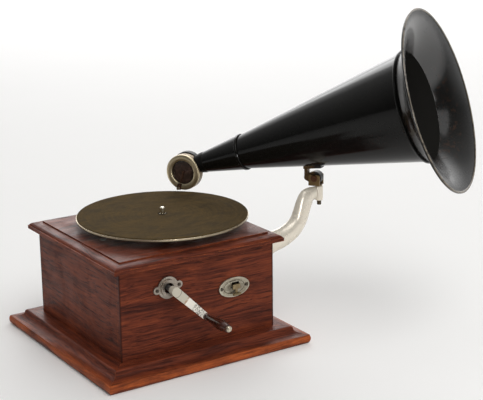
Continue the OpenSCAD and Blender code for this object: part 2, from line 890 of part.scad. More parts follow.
module brake_bracket() {
    shelf_z = lever_z - lever_t / 2 - pass_gap - bracket_t;
    shelf_y = front_y + panel_t;
    color(steel) {
        translate([lever_x - bracket_w / 2, shelf_y, shelf_z])
            cube([bracket_w, lever_pivot_y - shelf_y + lever_hub_r, bracket_t]);
        translate([lever_x - bracket_w / 2, shelf_y, shelf_z - bracket_drop])
            cube([bracket_w, bracket_t, bracket_drop + eps]);
        translate([lever_x, lever_pivot_y, shelf_z]) cylinder(r = lever_post_r, h = bracket_post_top - shelf_z);
    }
}

// Crank
module winding_shaft() {
    shaft_end = bevel_y + shaft_past;
    color(steel) {
        along_y(crank_x, shaft_end, crank_z) cylinder(r = crank_r, h = shaft_end - arm_y);
        for (y = [bearing_y + bearing_t + pass_gap + shaft_collar_t, bearing_y - pass_gap])
            along_y(crank_x, y, crank_z) cylinder(r = shaft_collar_r, h = shaft_collar_t);
    }
}

module crank_arm() {
    color(nickel) translate([crank_x, arm_y, crank_z]) rotate([90, crank_angle, 0]) difference() {
        union() {
            cylinder(r = crank_arm_w / 2, h = crank_arm_t);
            translate([crank_throw, 0, 0]) cylinder(r = crank_arm_w / 2, h = crank_arm_t);
            translate([0, -crank_arm_w / 2, 0]) cube([crank_throw, crank_arm_w, crank_arm_t]);
            translate([0, 0, -crank_hub_h]) cylinder(r = crank_hub_r, h = crank_hub_h + eps);
        }
        translate([0, 0, -crank_hub_h - 1]) cylinder(r = crank_r + run_gap, h = crank_hub_h + 1);
        translate([crank_throw, 0, -1]) cylinder(r = pin_stem_r + run_gap, h = crank_arm_t + 2);
    }
}

module handle_pin() {
    color(nickel) along_y(handle_x, arm_y, handle_z) {
        translate([0, 0, -pin_head_h]) {
            cylinder(r = pin_stem_r, h = arm_y - cap_y + pin_head_h + eps);
            cylinder(r = pin_stem_r + 1, h = pin_head_h);
        }
        translate([0, 0, arm_y - cap_y]) {
            cylinder(r = pin_cap_r, h = pin_cap_h * 0.6);
            translate([0, 0, pin_cap_h * 0.6])
                cylinder(r1 = pin_cap_r, r2 = pin_cap_r * 0.6, h = pin_cap_h * 0.4);
        }
    }
}

module crank_grip() {
    swell = grip_d / 2;
    neck = grip_d * 0.26;
    bead = 1;
    neck_z = 3.5;
    swell_z = grip_l * 0.72;
    end_r = swell * 0.66;
    outline = concat(
        [[pin_stem_r + run_gap, 0], [neck + bead, 0], [neck + bead, neck_z - bead], [neck, neck_z]],
        [for (i = [1 : 10]) let (t = i / 10)
            [neck + (swell - neck) * (1 - cos(180 * t)) / 2, neck_z + (swell_z - neck_z) * t]],
        [for (i = [1 : 6]) let (t = i / 6)
            [end_r + (swell - end_r) * cos(90 * t), swell_z + (grip_l - swell_z) * t]],
        [[pin_stem_r + run_gap, grip_l]]);
    color("saddlebrown") along_y(handle_x, grip_y, handle_z) rotate_extrude() polygon(outline);
}

// A bevel gear's axis is z and its apex is the origin; pitch is the angle of its pitch cone
module bevel_gear(teeth, r, bore, hub_r, phase) {
    pitch = asin(r / bevel_cone);
    near = bevel_cone - bevel_face;
    root = bevel_tooth_root / cos(pitch);
    back = bevel_cone * cos(pitch) + bevel_tooth_root * sin(pitch);
    back_r = r - bevel_tooth_root * cos(pitch);
    difference() {
        union() {
            translate([0, 0, -back]) cylinder(r1 = back_r, r2 = near * sin(pitch) - root,
                h = back - near * cos(pitch));
            translate([0, 0, -back - bevel_body_t]) cylinder(r = back_r, h = bevel_body_t + eps);
            translate([0, 0, -back - bevel_body_t - bevel_hub_h]) cylinder(r = hub_r, h = bevel_body_t);
            for (i = [0 : teeth - 1]) rotate([0, 0, phase + 360 * i / teeth])
                rotate([0, 180 - pitch, 0]) translate([-bevel_tooth_top, -bevel_tooth_w / 2, near])
                    cube([bevel_tooth_top + bevel_tooth_root + bevel_tooth_sink, bevel_tooth_w, bevel_face]);
        }
        translate([0, 0, -back - bevel_body_t - 2]) cylinder(r = bore, h = back + bevel_body_t + 4);
    }
}

module bevel_pinion() {
    color(steel) translate([crank_x, barrel_y, crank_z]) rotate([-90, 0, 0])
        bevel_gear(bevel_pinion_teeth, bevel_pinion_r, crank_r + run_gap, crank_r + 3, -90);
}

module bevel_wheel() {
    color(brass) translate([crank_x, barrel_y, crank_z])
        bevel_gear(bevel_wheel_teeth, bevel_wheel_r, arbor_r + run_gap, arbor_hub_r,
            -90 + 180 / bevel_wheel_teeth);
}

// Arbor, ratchet and click
module winding_arbor() {
    hub_z = drum_z + pass_gap;
    color(steel) translate([crank_x, barrel_y, 0]) {
        translate([0, 0, bottom_plate_z - 2]) cylinder(r = arbor_r, h = top_plate_z + 2 * plate_t - bottom_plate_z);
        translate([0, 0, hub_z]) cylinder(r = arbor_hub_r, h = barrel_h - 2 * pass_gap);
        translate([arbor_hub_r - 1, -2, hub_z + barrel_h / 2 - 2]) cube([1.9, 2, 4]);
    }
}

module ratchet_wheel() {
    teeth = [for (i = [0 : ratchet_teeth - 1]) for (p = [
        polar(ratchet_r, 360 * i / ratchet_teeth),
        polar(ratchet_r - ratchet_depth, 360 * (i + 0.06) / ratchet_teeth)]) p];
    color(steel) translate([crank_x, barrel_y, ratchet_z]) linear_extrude(height = ratchet_t) difference() {
        polygon(teeth);
        circle(r = arbor_r + run_gap);
    }
}

// The click's nose rides on the tooth tips at rest
module ratchet_click() {
    nose_angle = 28;
    nose = [click_d - ratchet_r * cos(nose_angle), ratchet_r * sin(nose_angle)]
        + pass_gap * [-cos(nose_angle), sin(nose_angle)];
    color(steel) translate([click_xy[0], click_xy[1], ratchet_z]) rotate([0, 0, click_dir + 180])
        difference() {
            union() {
                cylinder(r = click_hub_r, h = ratchet_t);
                linear_extrude(height = ratchet_t) polygon([[0, 0], [0, click_hub_r], [2, click_hub_r + 1.5],
                    nose + [0.4, click_w], nose + [0.8, 0.6], nose]);
            }
            translate([0, 0, -1]) cylinder(r = click_stud_r + run_gap, h = ratchet_t + 2);
        }
}

// Gears
module gear_2d(teeth, mod, phase) {
    pitch_r = teeth * mod / 2;
    step = 360 / teeth;
    corners = [[-0.30, -1.15], [-0.22, 0], [-0.10, 0.8], [0.10, 0.8], [0.22, 0], [0.30, -1.15]];
    polygon([for (i = [0 : teeth - 1]) for (c = corners)
        polar(pitch_r + c[1] * mod, phase + step * (i + c[0]))]);
}

module gear(teeth, mod, h, phase, bore) {
    linear_extrude(height = h) difference() {
        gear_2d(teeth, mod, phase);
        circle(r = bore);
    }
}

function gap_phase(teeth, dir) = dir + 180 / teeth;

module barrel_drum() {
    color(brass) translate([crank_x, barrel_y, barrel_base_z]) {
        gear(barrel_teeth, barrel_mod, barrel_gear_h, barrel_inter_dir, arbor_r + run_gap);
        translate([0, 0, barrel_gear_h - eps]) tube(drum_r, drum_in, barrel_h + eps);
    }
}

module barrel_cover() {
    color(brass) translate([crank_x, barrel_y, cover_z]) difference() {
        cylinder(r = drum_r, h = cover_t);
        translate([0, 0, -1]) cylinder(r = arbor_r + run_gap, h = cover_t + 2);
    }
}

module mainspring() {
    turn_steps = 24;
    steps = spring_turns * turn_steps;
    function coil(i, out) = polar(spring_r0 + (spring_r1 - spring_r0) * i / steps + out, 360 * i / turn_steps);
    color("steelblue") translate([crank_x, barrel_y, drum_z + pass_gap])
        linear_extrude(height = barrel_h - 2 * pass_gap)
        polygon(concat([for (i = [0 : steps]) coil(i, spring_t)], [for (i = [steps : -1 : 0]) coil(i, 0)]));
}

module intermediate_pinion() {
    low = bottom_plate_z + end_play;
    color(steel) translate([inter_xy[0], inter_xy[1], 0]) {
        translate([0, 0, low]) cylinder(r = inter_shaft_r, h = top_plate_z + plate_t - end_play - low);
        translate([0, 0, barrel_base_z - 1])
            gear(inter_pinion_teeth, barrel_mod, barrel_gear_h + 2,
                gap_phase(inter_pinion_teeth, barrel_inter_dir + 180), inter_shaft_r - 0.5);
    }
}

module intermediate_wheel() {
    color(brass) translate([inter_xy[0], inter_xy[1], wheel_z - 2]) {
        tube(collar_r + 1, inter_shaft_r + run_gap, 2 + eps);
        translate([0, 0, 2]) gear(inter_wheel_teeth, fine_mod, fine_h, inter_spindle_dir,
            inter_shaft_r + run_gap);
    }
}

// Turntable
module turntable_pan() {
    color(nickel) translate([spindle_x, 0, pan_top - pan_rim_h]) difference() {
        cylinder(r = table_r, h = pan_rim_h, $fn = 128);
        translate([0, 0, -1]) cylinder(r = table_r - pan_t, h = pan_rim_h - pan_t + 1, $fn = 128);
        cylinder(r = spindle_r + run_gap, h = pan_rim_h + 1);
    }
}

module turntable_felt() {
    color([0.31, 0.26, 0.18]) translate([spindle_x, 0, pan_top]) difference() {
        cylinder(r = table_r - felt_inset, h = felt_t, $fn = 128);
        translate([0, 0, -1]) cylinder(r = spindle_r + pass_gap, h = felt_t + 2);
    }
}

module turntable_hub() {
    color(steel) translate([spindle_x, 0, hub_top - hub_h]) {
        tube(hub_r, spindle_r + run_gap, hub_h);
        translate([0, 0, -hub_seat_h]) tube(hub_seat_r, spindle_r + run_gap, hub_seat_h + eps);
    }
}

module spindle() {
    low = footstep_floor + 2 * (ball_r + run_gap);
    color(nickel) translate([spindle_x, 0, 0]) {
        translate([0, 0, low]) cylinder(r = spindle_r, h = felt_top - low);
        translate([0, 0, felt_top - eps]) cylinder(r = pin_r, h = pin_h - pin_point_h + eps);
        translate([0, 0, felt_top + pin_h - pin_point_h - eps])
            cylinder(r1 = pin_r, r2 = pin_r - pin_point_in, h = pin_point_h);
        translate([0, 0, wheel_z - 1]) gear(spindle_pinion_teeth, fine_mod, fine_h + 2,
            gap_phase(spindle_pinion_teeth, inter_spindle_dir + 180), spindle_r - 0.5);
    }
}

module governor_drive_wheel() {
    color(brass) translate([spindle_x, 0, drive_z - 4]) {
        tube(spindle_r + 3, spindle_r + run_gap, 4 + eps);
        translate([0, 0, 4]) gear(drive_teeth, fine_mod, fine_h, governor_dir, spindle_r + run_gap);
    }
}

// Governor
module governor_shaft() {
    low = bottom_plate_z + end_play;
    color(steel) translate([governor_xy[0], governor_xy[1], 0]) {
        translate([0, 0, low]) cylinder(r = governor_shaft_r, h = top_plate_z + plate_t - end_play - low);
        translate([0, 0, governor_low]) cylinder(r = collar_r, h = collar_h);
        translate([0, 0, drive_z - 1]) gear(governor_teeth, fine_mod, fine_h + 2,
            gap_phase(governor_teeth, governor_dir + 180), governor_shaft_r - 0.5);
    }
}

module governor_disc() {
    color(brass) translate([governor_xy[0], governor_xy[1], disc_z - disc_hub_h]) {
        tube(collar_r, governor_shaft_r + run_gap, disc_hub_h + eps);
        translate([0, 0, disc_hub_h]) tube(disc_d / 2, governor_shaft_r + run_gap, disc_t);
    }
}

module governor_springs() {
    lean = 9;
    outline = [[leaf_x0, leaf_z0], [leaf_x1, leaf_z0 + lean], [leaf_x1, leaf_z1 - lean],
        [leaf_x0, leaf_z1], [leaf_x0 + leaf_t, leaf_z1 + leaf_t],
        [leaf_x1 + leaf_t, leaf_z1 - lean + leaf_t], [leaf_x1 + leaf_t, leaf_z0 + lean - leaf_t],
        [leaf_x0 + leaf_t, leaf_z0 - leaf_t]];
    color("steelblue") translate([governor_xy[0], governor_xy[1], 0])
        for (i = [0 : 2]) rotate([90, 0, 120 * i]) translate([0, 0, -leaf_w / 2])
            linear_extrude(height = leaf_w) polygon(outline);
}

module governor_weights() {
    color("dimgray") translate([governor_xy[0], governor_xy[1], weight_z])
        for (i = [0 : 2]) rotate([0, 0, 120 * i]) intersection() {
            translate([weight_orbit, 0, 0]) cylinder(r = weight_r, h = weight_h);
            translate([0, -weight_r, 0]) cube([leaf_x1 - run_gap, 2 * weight_r, weight_h]);
        }
}

// Brake lever
module brake_lever() {
    color(brass) {
        translate([lever_x, 0, lever_z - lever_t / 2]) {
            translate([0, lever_pivot_y, 0]) difference() {
                union() {
                    cylinder(r = lever_hub_r, h = lever_t);
                    translate([-lever_w / 2, lever_front - lever_pivot_y, 0])
                        cube([lever_w, lever_pivot_y - lever_front, lever_t]);
                    rotate([0, 0, brake_dir]) translate([0, -inner_arm_w / 2, 0])
                        cube([pad_along + pad_l / 2, inner_arm_w, lever_t]);
                }
                translate([0, 0, -1]) cylinder(r = lever_post_r + run_gap, h = lever_t + 2);
            }
            translate([-tab_w / 2, lever_front, lever_t - tab_drop]) cube([tab_w, lever_t, tab_drop]);
            translate([-lever_w / 2, lever_front, lever_t - knob_drop]) cube([lever_w, lever_t, knob_drop]);
        }
        translate([lever_x - knob_l / 2, lever_front - knob_ahead, lever_z - knob_drop])
            rotate([0, 90, 0]) cylinder(r = knob_r, h = knob_l);
    }
}

module brake_pad() {
    color([0.35, 0.3, 0.25]) translate([lever_x, lever_pivot_y, lever_z - pad_h / 2])
        rotate([0, 0, brake_dir]) translate([pad_along - pad_l / 2, inner_arm_w / 2, 0])
            cube([pad_l, pad_t, pad_h]);
}

// Horn. In its frame x runs level towards the mouth and the sound box faces -y
module horn_frame() {
    translate([swivel_x, swivel_y, 0]) rotate([0, 0, horn_az]) children();
}

module horn_axis(s) {
    horn_frame() translate([0, 0, horn_z]) rotate([0, 90 - horn_el, 0]) translate([0, 0, s]) children();
}

module swivel_fork() {
    color(brass) horn_frame() difference() {
        union() {
            translate([0, 0, swivel_pin_low]) cylinder(r = swivel_pin_r, h = fork_z - swivel_pin_low + 1);
            translate([-tilt_back - cheek_w / 2, -cheek_in - cheek_t, fork_z])
                cube([cheek_w, 2 * (cheek_in + cheek_t), fork_base_h]);
            for (side = [-cheek_in, cheek_in + cheek_t]) translate([-tilt_back, side, 0]) {
                translate([-cheek_w / 2, -cheek_t, fork_z])
                    cube([cheek_w, cheek_t, tilt_z + cheek_up - cheek_round - fork_z]);
                translate([cheek_round - cheek_w / 2, -cheek_t, tilt_z])
                    cube([cheek_w - 2 * cheek_round, cheek_t, cheek_up]);
                for (x = [-1, 1])
                    translate([x * (cheek_w / 2 - cheek_round), 0, tilt_z + cheek_up - cheek_round])
                        rotate([90, 0, 0]) cylinder(r = cheek_round, h = cheek_t);
            }
        }
        translate([-tilt_back, 0, tilt_z]) rotate([90, 0, 0])
            cylinder(r = tilt_pin_r + run_gap, h = 4 * cheek_in, center = true);
        translate([-tilt_back, 0, tilt_z]) rotate([90, 0, 0])
            cylinder(r = knuckle_r + pass_gap, h = 2 * cheek_in, center = true);
    }
}

module tilt_screw() {
    reach = cheek_in + cheek_t;
    color(brass) horn_frame() translate([-tilt_back, 0, tilt_z]) rotate([90, 0, 0]) {
        translate([0, 0, -reach - 2]) cylinder(r = tilt_pin_r, h = 2 * reach + 2 + eps);
        translate([0, 0, reach]) difference() {
            cylinder(r1 = tilt_head_r, r2 = tilt_head_r * 0.8, h = tilt_head_h);
            translate([-tilt_head_r, -0.5, tilt_head_h / 2]) cube([2 * tilt_head_r, 1, tilt_head_h]);
        }
    }
}

// The bell's outside follows an arc that turns from bell_turn[0] to bell_turn[1]
function bell_point(t, inset) =
    let (a0 = bell_turn[0], a1 = bell_turn[1], a = a0 + (a1 - a0) * t,
        u = (sin(a) - sin(a0)) / (sin(a1) - sin(a0)), v = (cos(a0) - cos(a)) / (cos(a0) - cos(a1)))
    [bell_r0 + (bell_r1 - bell_r0) * v - inset * cos(a), bell_s0 + (bell_s1 - bell_s0) * u + inset * sin(a)];

module horn_bell() {
    outside = [for (i = [0 : bell_steps]) bell_point(i / bell_steps, 0)];
    inside = [for (i = [bell_steps : -1 : 0]) bell_point(i / bell_steps, sheet_t)];
    color(japan) horn_axis(0) rotate_extrude($fn = 96) {
        polygon(concat(outside, inside));
        translate([bell_r1, bell_s1]) circle(r = rim_wire_r, $fn = 16);
    }
}

module horn_cone() {
    back = -sleeve_s - cone_lap;
    end = bead_s;
    color(japan) horn_axis(0) rotate_extrude($fn = 96) {
        polygon([[cone_at(back), back], [cone_at(end), end], [cone_at(end) - sheet_t, end],
            [cone_at(back) - sheet_t, back]]);
        translate([cone_at(end), end]) circle(r = bead_wire_r - fit_gap, $fn = 16);
    }
}

module horn_sleeve() {
    wall = sleeve_t;
    color(japan) horn_axis(0) rotate_extrude($fn = 96) polygon([
        [neck_r, -neck_s], [sleeve_r - sleeve_slope * sleeve_ring_w, -sleeve_s - sleeve_ring_w],
        [sleeve_r + 0.4, -sleeve_s - sleeve_ring_w], [sleeve_r + 0.4, -sleeve_s],
        [cone_at(-sleeve_s) + fit_gap, -sleeve_s], [cone_at(-sleeve_s - cone_lap) + fit_gap,
        -sleeve_s - cone_lap], [neck_r - wall, -neck_s]]);
}

module elbow_disc(r, y, h) {
    translate([-box_reach, y, drum_axis_z]) rotate([90, 0, 0]) cylinder(r = r, h = h, center = true, $fn = 32);
}

module neck_disc(r, s, h) {
    translate([0, 0, horn_z]) rotate([0, 90 - horn_el, 0]) translate([0, 0, -s])
        cylinder(r = r, h = h, $fn = 32);
}

// Room for the sound box in front of the elbow, or the same moved in by a wall
module box_room(wall) {
    translate([-box_reach, wall - elbow_front, box_z]) rotate([90, 0, 0])
        cylinder(r = box_r + 2 * pass_gap + wall, h = 2 * neck_r + wall);
}

module horn_elbow() {
    back_y = elbow_back - elbow_round;
    color(japan) horn_frame() difference() {
        union() {
            difference() {
                union() {
                    hull() {
                        neck_disc(neck_r, neck_s + 4, 4);
                        neck_disc(throat_r, drum_s, 1);
                    }
                    hull() {
                        elbow_disc(elbow_r, (back_y - elbow_front) / 2, back_y + elbow_front);
                        elbow_disc(elbow_r - elbow_round * 0.3, elbow_back - elbow_round * 0.55,
                            elbow_round * 0.4);
                        elbow_disc(elbow_r - elbow_round, elbow_back - 0.5, 1);
                    }
                }
                box_room(0);
            }
            translate([-box_reach, 0, box_z]) rotate([90, 0, 0]) cylinder(r = stub_r, h = stub_l);
        }
        difference() {
            union() {
                hull() {
                    neck_disc(neck_r - sleeve_t, neck_s + 4, 5);
                    neck_disc(throat_r - elbow_wall, drum_s, 1);
                }
                hull() {
                    elbow_disc(elbow_r - elbow_wall, (back_y + elbow_wall - elbow_front) / 2,
                        back_y - elbow_wall);
                    elbow_disc(elbow_r - elbow_round, elbow_back - elbow_wall - 0.5, 1);
                }
            }
            box_room(elbow_wall);
        }
        translate([-box_reach, elbow_back - 2 * elbow_wall, box_z]) rotate([90, 0, 0])
            cylinder(r = stub_bore, h = elbow_back + stub_l + 2);
    }
}

// The outside of the horn's cone, moved out by a gap
module cone_room(gap) {
    translate([0, 0, horn_z]) rotate([0, 90 - horn_el, 0]) translate([0, 0, -sleeve_s])
        cylinder(r1 = cone_at(-sleeve_s) + gap, r2 = bead_r + gap, h = bead_s + sleeve_s, $fn = 96);
}

module horn_bracket() {
    color(japan) horn_frame() difference() {
        union() {
            hull() for (side = [[0, knuckle_r], [lobe_x, lobe_r]])
                translate([-tilt_back - side[0], 0, tilt_z]) rotate([90, 0, 0])
                    cylinder(r = side[1], h = 2 * knuckle_half, center = true);
            translate([-tilt_back - lobe_x - lobe_r, -stem_l / 2, tilt_z])
                cube([stem_w, stem_l, horn_z - cone_at(0) + saddle_l / 2 - tilt_z]);
            intersection() {
                translate([-tilt_back - saddle_back - saddle_l / 2, -saddle_w / 2, tilt_z + knuckle_r])
                    cube([saddle_l, saddle_w, saddle_l]);
                cone_room(saddle_t);
            }
        }
        cone_room(fit_gap);
        translate([-tilt_back, 0, tilt_z]) rotate([90, 0, 0])
            cylinder(r = tilt_pin_r + run_gap, h = 4 * knuckle_half, center = true);
    }
}

// Sound box. In its frame z runs from the elbow to the front and the needle points to -y
module box_frame() {
    horn_frame() translate([-box_reach, 0, box_z]) rotate([90, 0, 0]) rotate([0, 0, -needle_lean]) children();
}

module stylus_notch(z0, z1) {
    translate([-notch_w / 2, -box_r - 5, z0]) cube([notch_w, 5 + box_r - stylus_top + 2, z1 - z0]);
}

module stylus_pivots(r, reach) {
    translate([-reach, -stylus_pivot, stylus_pivot_z]) rotate([0, 90, 0]) cylinder(r = r, h = 2 * reach);
}

module sound_box_body() {
    color(nickel) box_frame() difference() {
        translate([0, 0, box_back]) cylinder(r = box_r, h = bezel_z - box_back - run_gap);
        translate([0, 0, -1]) cylinder(r = stub_r + run_gap, h = box_t);
        translate([0, 0, stub_l + box_back + 1]) cylinder(r = ledge_r, h = box_t);
        translate([0, 0, gasket_z]) cylinder(r = mica_r + fit_gap, h = box_t);
        stylus_notch(mica_z + mica_t, box_front);
    }
}

module sound_box_bezel() {
    half = (box_r - bezel_open / 2) / 2;
    bulge = bezel_t * 0.55;
    color(nickel) box_frame() difference() {
        translate([0, 0, bezel_z]) rotate_extrude() polygon(concat(
            [[bezel_open / 2, 0], [box_r, 0]],
            arc([box_r - half, bezel_t - bulge], half, bulge, 0, 180, 12)));
        stylus_notch(bezel_z - 1, box_front + 1);
        translate([-bar_w / 2 - pass_gap, -stylus_top, bezel_z - 1])
            cube([bar_w + 2 * pass_gap, stylus_top, bar_z + bar_t + pass_gap - bezel_z + 1]);
        stylus_pivots(stylus_pivot_r + run_gap, notch_w / 2 + stylus_pivot_l + pass_gap);
    }
}

module diaphragm() {
    color([0.6, 0.55, 0.45]) box_frame() translate([0, 0, mica_z]) cylinder(r = mica_r, h = mica_t);
}

module gaskets() {
    color("black") box_frame() {
        translate([0, 0, gasket_z]) tube(mica_r, ledge_r, gasket_t);
        difference() {
            translate([0, 0, mica_z + mica_t]) tube(mica_r, ledge_r, gasket_t - run_gap);
            stylus_notch(mica_z + mica_t - eps, box_front);
        }
    }
}

module stylus_bar() {
    color(steel) box_frame() difference() {
        union() {
            translate([-stylus_w / 2, -stylus_end, stylus_z0])
                cube([stylus_w, stylus_end - stylus_top, stylus_z1 - stylus_z0]);
            translate([-bar_w / 2, -stylus_top - eps, bar_z]) cube([bar_w, stylus_top, bar_t]);
            translate([0, 0, mica_z + mica_t + pass_gap]) cylinder(r = bar_end_r, h = bar_t + 1);
            stylus_pivots(stylus_pivot_r, notch_w / 2 + stylus_pivot_l);
        }
        translate([0, -needle_top, needle_z]) rotate([90, 0, 0])
            cylinder(r = needle_r + run_gap, h = box_r);
        translate([0, -clamp_y, needle_z]) cylinder(r = clamp_r + run_gap, h = box_r);
    }
}

module needle() {
    color(nickel) box_frame() translate([0, -needle_top, needle_z]) rotate([90, 0, 0]) {
        cylinder(r = needle_r, h = needle_reach - needle_top - needle_tip_l);
        translate([0, 0, needle_reach - needle_top - needle_tip_l - eps])
            cylinder(r1 = needle_r, r2 = needle_tip_r, h = needle_tip_l + eps);
    }
}

module needle_screw() {
    low = needle_z + needle_r + run_gap;
    color(nickel) box_frame() translate([0, -clamp_y, 0]) {
        translate([0, 0, low]) cylinder(r = clamp_r, h = box_front + clamp_grip - low + eps);
        translate([0, 0, box_front + clamp_grip]) cylinder(r = clamp_head_r, h = clamp_head_h, $fn = 24);
    }
}

plinth_mouldings();
bottom_board();
wood_screws();
front_panel();
back_panel();
side_panels();
corner_blocks();
top_board();
crank_escutcheon();
front_screws();
control_plate();
horn_arm();
motor_bolts();
motor_nuts();
motor_spacers();
motor_top_plate();
motor_bottom_plate();
motor_pillars();
winding_bearing();
footstep_bearing();
brake_bracket();
winding_shaft();
crank_arm();
bevel_pinion();
handle_pin();
crank_grip();
winding_arbor();
bevel_wheel();
ratchet_wheel();
ratchet_click();
barrel_drum();
barrel_cover();
mainspring();
intermediate_pinion();
intermediate_wheel();
turntable_pan();
turntable_felt();
turntable_hub();
spindle();
governor_drive_wheel();
governor_shaft();
governor_disc();
governor_springs();
governor_weights();
brake_lever();
brake_pad();
swivel_fork();
tilt_screw();
horn_bell();
horn_cone();
horn_sleeve();
horn_elbow();
horn_bracket();
sound_box_body();
sound_box_bezel();
diaphragm();
gaskets();
stylus_bar();
needle();
needle_screw();
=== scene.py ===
"""The looks of a disc gramophone with an oak case and a black horn, dressed over its packed solids."""

import json
import math

import bmesh
import bpy
from bpy.props import FloatProperty, FloatVectorProperty, IntProperty, PointerProperty
from mathutils import Matrix, Vector, noise


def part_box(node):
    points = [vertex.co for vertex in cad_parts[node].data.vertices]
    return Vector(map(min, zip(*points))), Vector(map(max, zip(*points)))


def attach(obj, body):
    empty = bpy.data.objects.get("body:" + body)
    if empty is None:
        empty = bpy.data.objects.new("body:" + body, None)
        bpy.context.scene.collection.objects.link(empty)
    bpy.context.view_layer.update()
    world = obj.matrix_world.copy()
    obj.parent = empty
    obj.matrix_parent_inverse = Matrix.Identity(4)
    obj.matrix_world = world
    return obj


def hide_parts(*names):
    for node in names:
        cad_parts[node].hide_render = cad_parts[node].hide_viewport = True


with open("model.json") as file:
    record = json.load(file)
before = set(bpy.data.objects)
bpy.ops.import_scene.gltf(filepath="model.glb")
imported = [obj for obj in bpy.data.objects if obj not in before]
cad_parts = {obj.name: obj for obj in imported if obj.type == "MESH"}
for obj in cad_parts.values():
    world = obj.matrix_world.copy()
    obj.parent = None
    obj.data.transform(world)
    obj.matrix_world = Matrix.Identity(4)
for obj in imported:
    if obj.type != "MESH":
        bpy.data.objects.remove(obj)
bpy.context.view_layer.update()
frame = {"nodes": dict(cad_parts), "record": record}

bl_info = {
    "name": "Horn gramophone",
    "version": (1, 0, 0),
    "blender": (4, 5, 0),
    "location": "3D View > Sidebar > Gramophone",
    "description": "Dresses a packed disc gramophone: oak case, black horn, turntable and nickel fittings",
    "category": "Object",
}

MM = 0.001
SLOTS = {row["node"]: row["material_slot"] for row in frame["record"]["subparts"]}
BODY_OF = {node: body for body, nodes in frame["record"]["behaviour"]["bodies"].items() for node in nodes}

# The foot of the swivel's axis and the height of the horn's zero over it, in metres, and the horn's angles
SWIVEL, HORN_HEIGHT = (0.239, -0.086, 0), 0.2924
HORN_TURN, HORN_RISE = -56.8, 18.28

# The horn, in millimetres along its axis from its zero, as the solids have it
MOUTH_AT, MOUTH_RADIUS = 194.3, 135.65
BEAD_AT, BEAD_RADIUS = 156.4, 81.1
RING_AT, RING_RADIUS, RING_WIDTH = -127.8, 28, 4
NECK_AT, NECK_RADIUS = -196.02, 16.3
CONE_LAP, CONE_INSET = 12, 1.6
SHEET, SLEEVE_SHEET = 0.7, 1.4
CONE_SLOPE = (BEAD_RADIUS - RING_RADIUS + CONE_INSET) / (BEAD_AT - RING_AT)
# Where the bell starts ahead of the bead, and the angles that its wall's curve runs through, in degrees
BELL_START = 2
BELL_TURN = (27, 81)
# The share of the wall that runs up to the rolled rim
BELL_SHARE = 0.985
WALL_STEPS, CONE_STEPS, WIRE_STEPS = 60, 40, 20
# The bead's wire stands out by a share of its radius, and turns this far either way, in degrees
BEAD_LIFT, BEAD_TURN = 0.4, 105
# How far the sleeve's ring stands out, and the gaps that keep the cone clear of the bell and the sleeve
RING_LIP, BELL_GAP, SLEEVE_GAP = 0.4, 0.02, 0.1

# The crank's axis, and how far its blade points down from level, in degrees
CRANK_PLACE = (-0.051, 0, 0.1195)
CRANK_ANGLE = 44.4
# The metres from the axis to where the blade is narrowest, and the share that it narrows by there
BLADE_LENGTH, BLADE_TAPER = 0.06, 0.26

# The size of the cells that the arm's casting is remade with, in metres
ARM_VOXEL = 0.0008

# Sizes that the worn marks, the painted shade and the painted highlight keep to, in metres
CASE_HALF = 0.126
FIELD_HALF = 0.1212
JOINT_START, JOINT_END = 0.0027, 0.0012
NOSE_TOP = 0.0125
BOSS_RADIUS = 0.0058
SPINDLE_SHADE = 0.0068
HUB_END = 0.0222

# The turntable's sizes in metres, the faces round its pan and its felt, and the felt's rings
PAN_BORE, PAN_WALL, PAN_STEPS = 0.00405, 0.0015, 192
FOOT_INSET, FOOT_ROUND = 0.0006, 0.0005
FELT_BORE, FELT_STEPS, FELT_RINGS = 0.0043, 180, 46
NAP_DEPTH, NAP_SCALE = 0.00012, 140

# The photograph's camera: focal length in pixels of the 483 wide image, angles in radians, place in metres
FOCAL_PIXELS = 1295.06
IMAGE_WIDE = 483
CAMERA_YAW, CAMERA_PITCH, CAMERA_ROLL = -0.5781, 0.2736, -0.0125
CAMERA_PLACE = (-0.8867, -1.5972, 0.7169)

# The floor's half width, and how far it lies under the object, in metres
FLOOR_HALF, FLOOR_DROP = 14, 0.0002

# The ways to the bright wall that gloss mirrors, and to the side that the soft light comes from
BRIGHT_WALL = (0.5, 0.76, 0.41)
OPEN_SIDE = (0.78, -0.42, 0.47)


def from_screen(red, green, blue):
    """A colour given as a screen shows it, as linear light."""
    shares = [value / 255 for value in (red, green, blue)]
    return tuple(v / 12.92 if v <= 0.04045 else ((v + 0.055) / 1.055) ** 2.4 for v in shares)


def colour(name, description, screen):
    limits = {"subtype": "COLOR", "min": 0, "max": 1}
    return FloatVectorProperty(name=name, description=description, default=from_screen(*screen), **limits)


def length(name, description, size):
    return FloatProperty(name=name, description=description, unit="LENGTH", min=0, precision=5, default=size)


def share(name, description, default):
    return FloatProperty(name=name, description=description, subtype="FACTOR", min=0, max=1, default=default)


def power(name, description, default):
    return FloatProperty(name=name, description=description, unit="POWER", min=0, default=default)


class CaseLook(bpy.types.PropertyGroup):
    """Sizes and colours of the case."""

    light: colour("Light wood", "Colour of the lightest streaks of the oak", (142, 70, 42))
    middle: colour("Wood", "Main colour of the stained oak", (102, 48, 32))
    dark: colour("Dark wood", "Colour of the pores and the darkest streaks", (50, 25, 20))
    worn: colour("Worn edge", "Colour of the oak where its polish has rubbed off", (188, 96, 47))
    edge: length("Edge rounding", "Radius of the case's rubbed edges", 0.0007)
    gloss: share("Polish", "How much polish lies on the wood", 0.04)


